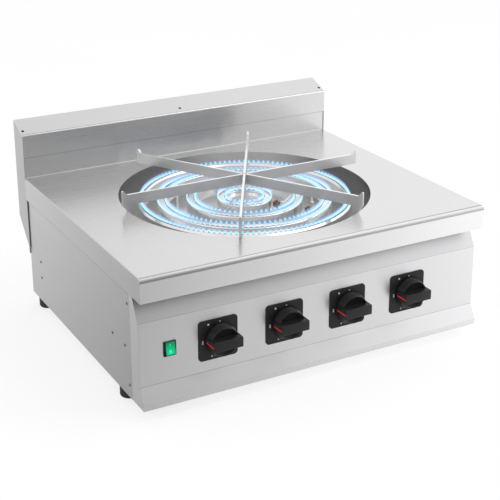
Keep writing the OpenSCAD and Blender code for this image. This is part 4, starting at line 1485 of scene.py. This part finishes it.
    def veil(self, ring: Ring) -> Piece:
        """Thin glowing wall along each row, which shows where the flames line up with the view.

        Args:
            ring: The ring.

        Returns:
            The piece.
        """
        lay = self.layout
        mesher = Mesher()
        levels = [0.0, 0.25, 0.5, 0.75, 1.0]
        for row, radius in ring.rows:
            foot = -RING_DROP if row is Row.UPRIGHT else -self.chamfer - self.veil_sink
            lean = self.veil_lean * row.value
            half = self.veil_w / 2
            outer = [(radius + half + lean * h, foot + self.veil_h * h) for h in levels]
            inner = [(radius - half + lean * h, foot + self.veil_h * h) for h in reversed(levels)]
            mesher.lathe(mm(outer + inner), lay.burner, Axis.Z, 144, self.finishes.flame_haze, ring=True)
        piece = mesher.object(f"ring_{ring.number}_flame_haze", 60)
        set_rise(piece, lay.top_z - self.chamfer * MM, self.veil_h * MM)
        return self.tie(piece)

    def tie(self, piece: Piece) -> Piece:
        """Ties a flame piece to the root body and gives it a mesh of its own.

        Args:
            piece: The flames or the glow.

        Returns:
            The same piece, dressed.
        """
        dress(piece, ROOT_BODY)
        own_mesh(piece)
        return piece


def scatter(name: str, seed: Piece, stations: Sequence[tuple[Vector, Vector]]) -> Piece:
    """Copies a seed piece onto stations with Geometry Nodes.

    Args:
        name: Name of the result.
        seed: The piece to copy, modelled upright at the origin; it is removed.
        stations: Place and direction of each copy.

    Returns:
        One plain mesh object with all the copies.
    """
    points = bpy.data.meshes.new(name + "_points")
    points.from_pydata([tuple(place) for place, _ in stations], [], [])
    ways = points.attributes.new("way", "FLOAT_VECTOR", "POINT")
    ways.data.foreach_set("vector", [c for _, way in stations for c in way])
    piece = linked(name, points)
    tree = scatter_tree()
    modifier = piece.modifiers.new("scatter", "NODES")
    modifier.node_group = tree
    inputs = {item.name: item.identifier for item in tree.interface.items_tree if item.in_out == "INPUT"}
    for key, value in (("Seed", seed), ("Size", 1.0), ("Material", seed.data.materials[0])):
        modifier[inputs[key]] = value
    settle(piece)
    keep_materials(piece, seed)
    bpy.data.objects.remove(seed)
    shade(piece, 60)
    return piece


def keep_materials(piece: Piece, seed: Piece) -> None:
    """Gives the copies the seed's materials, face by face.

    Args:
        piece: The mesh with all the copies.
        seed: The piece that was copied.
    """
    pattern = [polygon.material_index for polygon in seed.data.polygons]
    piece.data.materials.clear()
    for material in seed.data.materials:
        piece.data.materials.append(material)
    copies = len(piece.data.polygons) // len(pattern)
    piece.data.polygons.foreach_set("material_index", pattern * copies)


def scatter_tree() -> bpy.types.NodeTree:
    """Makes the tree that stands a seed object on every point, along the attribute way.

    Returns:
        The tree, which is the same one on every call.
    """
    tree = bpy.data.node_groups.get("stand_on_points")
    if tree is not None:
        return tree
    tree = bpy.data.node_groups.new("stand_on_points", "GeometryNodeTree")
    for name, way, kind in (("Geometry", "INPUT", "Geometry"), ("Seed", "INPUT", "Object"),
                            ("Size", "INPUT", "Float"), ("Material", "INPUT", "Material"),
                            ("Geometry", "OUTPUT", "Geometry")):
        tree.interface.new_socket(name=name, in_out=way, socket_type="NodeSocket" + kind)
    made = {}
    for key, kind in (
        ("in", "NodeGroupInput"),
        ("out", "NodeGroupOutput"),
        ("info", "GeometryNodeObjectInfo"),
        ("way", "GeometryNodeInputNamedAttribute"),
        ("turn", "FunctionNodeAlignRotationToVector"),
        ("copy", "GeometryNodeInstanceOnPoints"),
        ("real", "GeometryNodeRealizeInstances"),
        ("paint", "GeometryNodeSetMaterial"),
    ):
        made[key] = tree.nodes.new(kind)
    made["way"].data_type = "FLOAT_VECTOR"
    made["way"].inputs["Name"].default_value = "way"
    made["turn"].axis = "Z"
    for source, output, target, entry in (
        ("in", "Seed", "info", "Object"),
        ("way", "Attribute", "turn", "Vector"),
        ("in", "Geometry", "copy", "Points"),
        ("info", "Geometry", "copy", "Instance"),
        ("turn", "Rotation", "copy", "Rotation"),
        ("in", "Size", "copy", "Scale"),
        ("copy", "Instances", "real", "Geometry"),
        ("real", "Geometry", "paint", "Geometry"),
        ("in", "Material", "paint", "Material"),
        ("paint", "Geometry", "out", "Geometry"),
    ):
        tree.links.new(made[source].outputs[output], made[target].inputs[entry])
    return tree


@dataclass
class PotSupport:
    """Three bars on edge that cross over the burner, with weld beads where they cross.

    Sizes are in millimetres.

    Attributes:
        layout: Shared places.
        finishes: Every material.
        bead: Radius of a weld bead.
        bead_at: Distance of the beads from the middle.
        bead_z: Stations of a bead's centre line over the worktop.
    """

    layout: Layout
    finishes: Finishes
    bead: float = 2.2
    bead_at: float = 5.6
    bead_z: tuple[float, ...] = (17, 24, 31, 37.6)

    def build(self, frame: dict) -> None:
        """Makes the bars and the beads.
        """
        for number in (1, 2, 3):
            bar = NodeCopy(f"support_bar_{number}", self.finishes.bar, "support_steel", Grain.ALONG_X,
                           body="pot_support", edge=0.5 * MM).build(frame)
            # The bars' top faces take the polished steel, which carries a painted glow.
            bar.data.materials.append(self.finishes.polished)
            for polygon in bar.data.polygons:
                if polygon.normal.z > 0.5:
                    polygon.material_index = 1
        beads = Mesher()
        for index in range(6):
            foot = self.layout.burner + turn(30 + 60 * index) * self.bead_at * MM
            path = [foot + Vector((0, 0, height * MM)) for height in self.bead_z]
            beads.tube(path, self.bead * MM, self.finishes.bar, 8)
        piece = beads.object("crossing_welds", 60)
        lay_grain(piece, Grain.ALONG_Z)
        dress(piece, "pot_support", "support_steel")


@dataclass
class Knob:
    """Dished knob with a finger bar and a red line on the bar's end.

    Sizes are in millimetres. The outlines are measured from the plate, forwards being negative.

    Attributes:
        layout: Shared places.
        finishes: Every material.
        number: Number of the knob from the left.
        skirt_back: Radius of the skirt at the plate.
        skirt_front: Radius of the skirt's front rim.
        depth: Height of the knob.
        rim: Height of the skirt's front rim.
        bar: Thickness of the finger bar.
        line: Width of the red line.
        proud: How far the red line stands out of the bar.
    """

    layout: Layout
    finishes: Finishes
    number: int
    skirt_back: float = 34.0
    skirt_front: float = 30.0
    depth: float = 33.2
    rim: float = 18.7
    bar: float = 21.0
    line: float = 2.7
    proud: float = 0.3

    def build(self) -> None:
        """Makes the knob and its red line."""
        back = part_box(f"knob_{self.number}")[1][1]
        centre = Vector((self.layout.knob_x[self.number - 1], back, self.layout.knob_z))
        body = f"tap_knob_{self.number}"
        dress(self.skirt(centre), body, "black_knob_plastic", f"knob_{self.number}")
        dress(self.grip(centre), body, "black_knob_plastic")
        dress(self.pointer(centre), body)

    def skirt(self, centre: Vector) -> Piece:
        """Turned skirt with a scooped front.

        Args:
            centre: Middle of the knob at the plate.

        Returns:
            The new piece.
        """
        mesher = Mesher()
        b, r = self.skirt_back, self.skirt_front
        outer = [(4.0, 0.0), (b - 0.8, 0.0), (b, -0.8), (r + 0.6, -self.rim + 1.6), (r, -self.rim + 0.5),
                 (r - 1.0, -self.rim)]
        scoop = [(r - 2.2, -self.rim + 0.6), (r - 5.0, -self.rim + 3.4), (r - 9.0, -self.rim + 5.8),
                 (r - 14.0, -self.rim + 6.8), (4.0, -self.rim + 7.0)]
        mesher.lathe(mm(outer + scoop), centre, Axis.Y, 96, self.finishes.knob, ring=True)
        return mesher.object(f"knob_{self.number}_skirt", 45)

    def slab(self, outline: Sequence[Point2], centre: Vector, thickness: float,
             material: Material) -> Mesher:
        """Level slab at the knob's middle height.

        Args:
            outline: Its outline, seen from above.
            centre: Middle of the knob at the plate.
            thickness: Its thickness.
            material: Its material.

        Returns:
            The mesh with the slab in it.
        """
        mesher = Mesher()
        half = thickness / 2 * MM
        points = mm(outline, centre.x, centre.y)
        mesher.prism(points, Axis.Z, centre.z - half, centre.z + half, material)
        return mesher

    def grip(self, centre: Vector) -> Piece:
        """Finger bar across the skirt, with rounded edges and slanted ends.

        Args:
            centre: Middle of the knob at the plate.

        Returns:
            The new piece.
        """
        b, r, d = self.skirt_back, self.skirt_front, self.depth
        outline = [(-b + 0.9, -0.6), (-r - 2.6, -d + 3.0), (-r - 2.3, -d), (r + 2.3, -d),
                   (r + 2.6, -d + 3.0), (b - 0.9, -0.6)]
        mesher = self.slab(outline, centre, self.bar, self.finishes.knob)
        return mesher.object(f"knob_{self.number}_grip", 40, bevel=1.6 * MM, segments=4, bevel_angle=30)

    def pointer(self, centre: Vector) -> Piece:
        """Red line let into the bar's left end.

        Args:
            centre: Middle of the knob at the plate.

        Returns:
            The new piece.
        """
        b, r, d = self.skirt_back, self.skirt_front, self.depth
        out = self.proud
        outline = [(-b + 0.75 - out, -1.6), (-r - 2.6 - out, -d + 3.0), (-r - 1.6, -d - out * 0.2),
                   (-r + 1.6, -d + 2.6), (-b + 2.2, -1.6)]
        mesher = self.slab(outline, centre, self.line, self.finishes.red)
        return mesher.object(f"knob_{self.number}_pointer", 30)


@dataclass
class KnobPlates:
    """Square plates behind the knobs, with their printed marks.

    Sizes are in millimetres, and angles in degrees.

    Attributes:
        layout: Shared places.
        finishes: Every material.
        ink: How far a print stands out of its plate.
        sunk: How far it lies in it.
        arc_r: Radius of the curved line round the knob.
        arc_from: Angle of its thick end, at the low mark.
        arc_to: Angle of its thin end.
        arc_w: Its width at the thick end and at the thin end.
    """

    layout: Layout
    finishes: Finishes
    ink: float = 0.12
    sunk: float = 0.05
    arc_r: float = 37.0
    arc_from: float = 247.0
    arc_to: float = 258.0
    arc_w: tuple[float, float] = (0.75, 0.25)

    def build(self, frame: dict) -> None:
        """Makes the plates and prints.
        """
        NodeCopy("knob_plates", self.finishes.plate, "black_plate_plastic", edge=0.6 * MM,
                 smooth=50).build(frame)
        prints = Mesher()
        for x in self.layout.knob_x:
            self.marks(prints, x)
        dress(prints.object("knob_marks", 30), ROOT_BODY)

    def dot(self, prints: Mesher, x: float, z: float, radius: float, material: Material) -> None:
        """Adds a round printed dot.

        Args:
            prints: The mesh of the prints.
            x: Its place across, in metres.
            z: Its height, in metres.
            radius: Its radius.
            material: Its print.
        """
        profile = mm([(0.0, self.sunk), (radius, self.sunk), (radius, -self.ink), (0.0, -self.ink)])
        prints.lathe(profile, (x, self.layout.plate_y, z), Axis.Y, 20, material)

    def marks(self, prints: Mesher, x: float) -> None:
        """Adds one plate's marks: off, spark, full and low.

        Args:
            prints: The mesh of the prints.
            x: Middle of the knob, in metres.
        """
        z = self.layout.knob_z
        f = self.finishes
        for across, up, radius, material in (
            (0.0, 36.0, 1.8, f.grey), (-25.4, 34.0, 2.1, f.white), (-38.0, -0.2, 1.7, f.white),
            (-38.0, -4.2, 1.9, f.white), (-18.4, -35.6, 1.6, f.white),
        ):
            self.dot(prints, x + across * MM, z + up * MM, radius, material)
        self.arc(prints, x, z)

    def arc(self, prints: Mesher, x: float, z: float) -> None:
        """Adds the thin curved line that grows towards the low mark.

        Args:
            prints: The mesh of the prints.
            x: Middle of the knob, in metres.
            z: Its height, in metres.
        """
        steps = 6
        thick, thin = self.arc_w
        outer = []
        inner = []
        for index in range(steps + 1):
            share = index / steps
            angle = math.radians(self.arc_from + (self.arc_to - self.arc_from) * share)
            width = (thick - thin) * (1 - share) + thin
            for path, reach in ((outer, self.arc_r + width / 2), (inner, self.arc_r - width / 2)):
                path.append((x + reach * MM * math.cos(angle), z + reach * MM * math.sin(angle)))
        face = self.layout.plate_y
        prints.prism(outer + inner[::-1], Axis.Y, face - self.ink * MM, face + self.sunk * MM,
                     self.finishes.grey)


@dataclass
class PowerSwitch:
    """Lit rocker switch in its black bezel.

    Sizes are in millimetres, and are measured from the rocker's pivot where they place its marks.

    Attributes:
        layout: Shared places.
        finishes: Every material.
        frame_w: Width of the rocker's black frame at the lens's left side.
        pivot: Distance of the pivot behind the worktop's front edge.
        tilt: Angle of the rocker at rest in degrees.
        face: How far the middle of the rocker's face lies before the pivot.
        off_z: How far the ring for off lies under the pivot.
        off_size: Half of that ring's width and of its height.
        off_hole: Share of that ring's size that its hole has, across and upward.
        off_depth: How far that ring stands out of the face, and how far it lies in it.
        on_corners: Lower left and upper right corner of the bar for on.
        on_depth: How far before the middle of the face that bar begins and ends.
    """

    layout: Layout
    finishes: Finishes
    frame_w: float = 2.6
    pivot: float = 27.0
    tilt: float = 7.0
    face: float = 7.6
    off_z: float = 6.4
    off_size: tuple[float, float] = (1.7, 2.3)
    off_hole: tuple[float, float] = (0.62, 0.7)
    off_depth: tuple[float, float] = (0.12, 0.3)
    on_corners: tuple[Point2, Point2] = ((-0.4, 4.6), (0.4, 8.0))
    on_depth: tuple[float, float] = (1.15, 0.2)

    def build(self, frame: dict) -> None:
        """Makes the bezel, the lens and its marks.
        """
        NodeCopy("switch_housing", self.finishes.plate, "black_plate_plastic", edge=0.5 * MM,
                 rule=self.bezel_rule).build(frame)
        rocker = NodeCopy("switch_rocker", self.finishes.lens, "green_lens", body="power_rocker",
                          edge=0.7 * MM, smooth=40).build(frame)
        self.paint_frame(rocker)
        self.marks()

    def bezel_rule(self, middle: Vector, way: Vector, angle: float) -> float:
        """Round corners on the bezel's outline.

        Args:
            middle: The edge's middle.
            way: Its direction.
            angle: Its angle in radians.

        Returns:
            Its radius in metres, or KEEP.
        """
        low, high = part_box("switch_housing")
        outer = min(abs(middle.x - low[0]), abs(middle.x - high[0])) < 0.3 * MM
        return 2.0 * MM if abs(way.y) > STRAIGHT and outer else KEEP

    def paint_frame(self, rocker: Piece) -> None:
        """Blackens the rocker's own frame beside the clear lens.

        Args:
            rocker: The rocker.
        """
        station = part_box("switch_rocker")[0][0] + self.frame_w * MM
        bm = bmesh.new()
        bm.from_mesh(rocker.data)
        geometry = bm.verts[:] + bm.edges[:] + bm.faces[:]
        bmesh.ops.bisect_plane(bm, geom=geometry, plane_co=(station, 0, 0), plane_no=(1, 0, 0),
                               dist=MERGE_DISTANCE)
        rocker.data.materials.append(self.finishes.plate)
        for face in bm.faces:
            if face.calc_center_median().x < station or abs(face.normal.x) > 0.8:
                face.material_index = 1
        bm.to_mesh(rocker.data)
        bm.free()

    def marks(self) -> Piece:
        """Line for on above, ring for off below, on the rocker's two faces.

        Returns:
            The dressed piece.
        """
        x, _, z = box_middle("switch_rocker")
        pivot_y = self.layout.front_y + self.pivot * MM
        tilt = Matrix.Translation((0, pivot_y, z)) @ Matrix.Rotation(math.radians(-self.tilt), 4, "X")
        mesher = Mesher()
        face = -self.face * MM
        slope = math.tan(math.radians(self.tilt))
        bar = mm(rectangle(*self.on_corners), x)
        front, back = self.on_depth
        mesher.prism(bar, Axis.Y, face - front * MM, face - back * MM, self.finishes.mint)
        steps = 20
        off = -self.off_z * MM
        wide, high = self.off_size
        ring = []
        for index in range(steps):
            angle = 2 * math.pi * index / steps
            ring.append((x + wide * MM * math.cos(angle), off + high * MM * math.sin(angle)))
        across, up = self.off_hole
        hole = [(x + (px - x) * across, off + (pz - off) * up) for px, pz in ring]
        proud, sunk = self.off_depth
        for index in range(steps):
            after = (index + 1) % steps
            quad = [ring[index], ring[after], hole[after], hole[index]]
            depth = face - slope * sum(abs(point[1]) for point in quad) / 4
            mesher.prism(quad, Axis.Y, depth - proud * MM, depth + sunk * MM, self.finishes.mint)
        mesher.bm.transform(tilt)
        return dress(mesher.object("rocker_marks", 30), "power_rocker")


@dataclass
class Hardware:
    """Feet, screws, inlet, gland, pilots, taps and the other small pieces.

    Attributes:
        layout: Shared places.
        finishes: Every material.
    """

    layout: Layout
    finishes: Finishes

    def build(self, frame: dict) -> None:
        """Makes every small piece.
        """
        f = self.finishes
        for node, material, slot, edge, smooth in (
            ("feet", f.rubber, "black_rubber", 0.5, 50),
            ("foot_bolts", f.tube, "tube_steel", 0.25, 50),
            ("foot_nuts", f.tube, "tube_steel", 0.25, 34),
            ("injectors", f.brass, "brass", 0.25, 50),
            ("gas_manifold", f.tube, "tube_steel", 0.25, 50),
            ("gas_inlet", f.brass, "brass", 0.25, 50),
            ("pilot_burners", f.bronze, "polished_steel", 0.25, 50),
            ("thermocouples", f.probe, "brass", 0.25, 50),
            ("spark_electrode", f.ceramic, "ceramic_white", 0.25, 50),
            ("spark_generator", f.knob, "black_knob_plastic", 1.0, 50),
            ("cable_gland", f.knob, "black_knob_plastic", 0.8, 50),
        ):
            NodeCopy(node, material, slot, edge=edge * MM, smooth=smooth).build(frame)
        for number in TAPS:
            NodeCopy(f"valve_{number}", f.brass, "brass", edge=0.6 * MM, smooth=50).build(frame)
            for node, body in (("valve_stem", "tap_knob"), ("push_rod", "tap_plunger")):
                NodeCopy(f"{node}_{number}", f.tube, "tube_steel", body=f"{body}_{number}",
                         smooth=50).build(frame)
        self.screws(frame)

    def screws(self, frame: dict) -> None:
        """Button heads with a cross recess on the sides and the back.
        """
        for node, axis in (("side_screws", Axis.X), ("rear_screws", Axis.Y)):
            stations = []
            for centre, side in screw_heads(frame["nodes"][node], axis):
                way = Vector((0.0, 0.0, 0.0))
                way[axis.value] = side
                stations.append((centre, way))
            piece = scatter(f"{node}_heads", self.screw_seed(), stations)
            dress(piece, ROOT_BODY, "dark_screw", node)

    def screw_seed(self) -> Piece:
        """Makes one screw, with its head's seat at the origin and its shank below.

        Returns:
            The seed piece.
        """
        mesher = Mesher()
        head = [(0.0, 1.15), (1.4, 1.15), (2.5, 0.9), (3.1, 0.35), (3.2, 0.0), (1.7, 0.0), (1.7, -5.0),
                (0.0, -5.0)]
        mesher.lathe(mm(head), (0, 0, 0), Axis.Z, 16, self.finishes.screw)
        # Near-black cross recess: painted shade in the recess.
        for long, short in ((1.5, 0.35), (0.35, 1.5)):
            outline = mm(rectangle((-long, -short), (long, short)))
            mesher.prism(outline, Axis.Z, 0.9 * MM, 1.18 * MM, self.finishes.dark)
        return mesher.object("screw_seed", 40)


def screw_heads(node: Piece, axis: Axis, head: float = 1.2 * MM) -> list[tuple[Vector, int]]:
    """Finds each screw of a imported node.

    Args:
        node: The node's object.
        axis: The screws' axis.
        head: Height of a screw's head in the node.

    Returns:
        The seat of each head and the side that it faces.
    """
    bm = bmesh.new()
    bm.from_mesh(node.data)
    bmesh.ops.remove_doubles(bm, verts=bm.verts, dist=MERGE_DISTANCE)
    seen: set[int] = set()
    result = []
    for start in bm.verts:
        if start.index in seen:
            continue
        stack = [start]
        group = []
        while stack:
            vert = stack.pop()
            if vert.index in seen:
                continue
            seen.add(vert.index)
            group.append(vert.co.copy())
            stack.extend(edge.other_vert(vert) for edge in vert.link_edges)
        low = Vector([min(point[i] for point in group) for i in range(3)])
        high = Vector([max(point[i] for point in group) for i in range(3)])
        centre = (low + high) / 2
        side = -1 if axis is Axis.X and centre.x < 0 else 1
        tip = high[axis.value] if side > 0 else low[axis.value]
        centre[axis.value] = tip - side * head
        result.append((centre, side))
    bm.free()
    return result


@dataclass
class Studio:
    """Camera, floor, world and lamps.

    Attributes:
        layout: Shared places.
        pixels: Side of the photograph's square frame.
        sensor: Width of the sensor in millimetres.
        focal: Focal length in pixels.
        axis_point: Pixel that the lens axis passes through.
        place: The camera's place, from the worktop's front middle, in millimetres.
        ahead: Direction that the camera looks in.
        right: Direction of the picture's right side.
        floor_glow: What the white floor adds to its lit colour where it is seen.
        floor_level: What it adds where it is mirrored, under the object.
        floor_across: How much more it adds per metre to the right.
        floor_along: How much more it adds per metre to the back.
        ambient: Strength of the world as a light.
        dim: How much darker the studio is low down behind the camera.
        boost: How much brighter it is there on the right.
        sweep: How bright the world is at its left side, beside its right.
        reach: Half of the floor's width in metres.
    """

    layout: Layout
    pixels: float = 500.0
    sensor: float = 36.0
    focal: float = 1206.7
    axis_point: tuple[float, float] = (250.0, 175.0)
    place: tuple[float, float, float] = (-1190.4, -1880.9, 898.3)
    ahead: tuple[float, float, float] = (0.45173, 0.83108, -0.32441)
    right: tuple[float, float, float] = (0.87799, -0.47866, -0.00366)
    floor_glow: float = 0.74
    floor_level: float = 0.72
    floor_across: float = 0.6
    floor_along: float = 0.4
    ambient: float = 0.8
    dim: float = 0.6
    boost: float = 0.8
    sweep: float = 0.77
    reach: float = 12.0

    def build(self) -> None:
        """Makes the whole studio."""
        self.camera()
        self.floor()
        self.world()
        self.lamps()

    def camera(self) -> None:
        """Places the camera that the photograph was taken from."""
        data = bpy.data.cameras.new("camera")
        data.sensor_width = self.sensor
        data.lens = self.focal * self.sensor / self.pixels
        data.shift_x = -(self.axis_point[0] - self.pixels / 2) / self.pixels
        data.shift_y = (self.axis_point[1] - self.pixels / 2) / self.pixels
        data.clip_start = 0.05
        camera = linked("camera", data)
        x, y, z = self.place
        camera.location = self.layout.at(x, y, z)
        back = -Vector(self.ahead).normalized()
        side = Vector(self.right)
        side = (side - back * side.dot(back)).normalized()
        camera.rotation_euler = Matrix((side, back.cross(side), back)).transposed().to_euler()
        bpy.context.scene.camera = camera

    def floor(self) -> None:
        """Plain pale floor that keeps the object's shadow."""
        nodes = Nodes("studio_floor")
        grey = nodes.noise((1.5, 1.5, 1.5), 1.0)
        colour = nodes.ramp(grey, [(0.0, (0.86, 0.86, 0.86)), (1.0, (0.88, 0.88, 0.88))])
        pale = nodes.ramp(grey, [(0.0, (0.36, 0.36, 0.36)), (1.0, (0.38, 0.38, 0.38))])
        split = nodes.add("SeparateXYZ", {0: nodes.add("TexCoord").outputs["Object"]})
        across = nodes.add("Math", {0: split.outputs["X"], 1: self.floor_across, 2: self.floor_level},
                           operation="MULTIPLY_ADD")
        slope = nodes.add("Math", {0: split.outputs["Y"], 1: self.floor_along, 2: across.outputs[0]},
                          operation="MULTIPLY_ADD")
        mirrored = nodes.spread(slope.outputs[0], 0.05, 0.95, 0.05, 0.95)
        path = nodes.add("LightPath").outputs
        seen = nodes.math("MAXIMUM", path["Is Camera Ray"], path["Is Glossy Ray"])
        own = [nodes.add("Emission", {"Color": (1, 1, 1, 1), "Strength": level}).outputs[0]
               for level in (mirrored, self.floor_glow)]
        glow = nodes.add("MixShader", {0: path["Is Camera Ray"], 1: own[0], 2: own[1]})
        lit = nodes.add("AddShader", {0: nodes.add("BsdfDiffuse", {"Color": pale}).outputs[0],
                                      1: glow.outputs[0]})
        matt = nodes.add("BsdfDiffuse", {"Color": colour})
        mixed = nodes.add("MixShader", {0: seen, 1: matt.outputs[0], 2: lit.outputs[0]})
        material = nodes.finish(mixed.outputs[0])
        mesher = Mesher()
        outline = rectangle((-self.reach, -self.reach), (self.reach, self.reach))
        mesher.prism(outline, Axis.Z, -0.02, 0.0, material)
        mesher.object("floor")

    def world(self) -> None:
        """White all round, dimmer low down behind the camera, but seen as plain white."""
        nodes = Nodes("studio", world=True)
        coords = nodes.add("TexCoord").outputs["Generated"]
        way = nodes.add("SeparateXYZ", {0: coords}).outputs
        behind = (-0.75, -0.2)
        low = nodes.spread(way["Z"], 1.0, 0.0, 0.45, 0.65)
        left = nodes.spread(way["X"], 1.0, 0.0, 0.42, 0.60)
        right = nodes.spread(way["X"], 0.0, self.boost, 0.50, 0.65)
        dimmed = nodes.math("MULTIPLY", nodes.spread(way["Y"], self.dim, 0.0, *behind), low)
        dark = nodes.spread(nodes.math("MULTIPLY", dimmed, left), 1.0, 0.0)
        lifted = nodes.math("MULTIPLY", nodes.spread(way["Y"], 1.0, 0.0, *behind), low)
        bright = nodes.math("MULTIPLY", lifted, right)
        side = nodes.spread(way["X"], self.sweep, 1.0, 0.1, 0.5)
        level = nodes.math("ADD", nodes.math("MULTIPLY", dark, side), bright)
        path = nodes.add("LightPath").outputs
        seen = nodes.math("MAXIMUM", path["Is Camera Ray"], path["Is Glossy Ray"])
        seen = nodes.math("MAXIMUM", seen, path["Is Transmission Ray"])
        strength = nodes.math("MULTIPLY", level, nodes.spread(seen, self.ambient, 1.0))
        strength = nodes.math("MAXIMUM", strength, path["Is Camera Ray"])
        back = nodes.add("Background", {"Color": (1.0, 1.0, 1.0, 1.0), "Strength": strength})
        bpy.context.scene.world = nodes.finish(back.outputs[0])

    def lamps(self) -> None:
        """Two broad soft lamps above, one at each side."""
        for name, place, size, power in (("key", (1.5, -0.9, 2.4), 2.2, 12.0),
                                         ("fill", (-2.4, -0.6, 1.8), 2.0, 5.0)):
            data = bpy.data.lights.new(name, "AREA")
            data.shape = "SQUARE"
            data.size = size
            data.energy = power
            lamp = linked(name, data)
            lamp.location = place
            way = self.layout.burner - Vector(place)
            lamp.rotation_euler = way.to_track_quat("-Z", "Y").to_euler()


def main() -> None:
    """Builds the dressed model and the studio in order."""
    logging.basicConfig(level=logging.INFO, format="%(name)s: %(message)s")
    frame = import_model()
    layout = Layout.from_frame()
    scene = bpy.context.scene
    scene.view_settings.view_transform = "Standard"
    scene.cycles.transparent_max_bounces = 32
    Studio(layout).build()
    low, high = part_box("switch_rocker")
    lamp = Vector(((low[0] + high[0]) / 2, low[1], low[2] + 5 * MM))
    finishes = Finishes.build(lamp)
    Casing(layout, finishes).build(frame)
    Burner(layout, finishes).build(frame)
    PotSupport(layout, finishes).build(frame)
    for number in TAPS:
        Knob(layout, finishes, number).build()
    KnobPlates(layout, finishes).build(frame)
    PowerSwitch(layout, finishes).build(frame)
    Hardware(layout, finishes).build(frame)


if __name__ == "__main__":
    main()
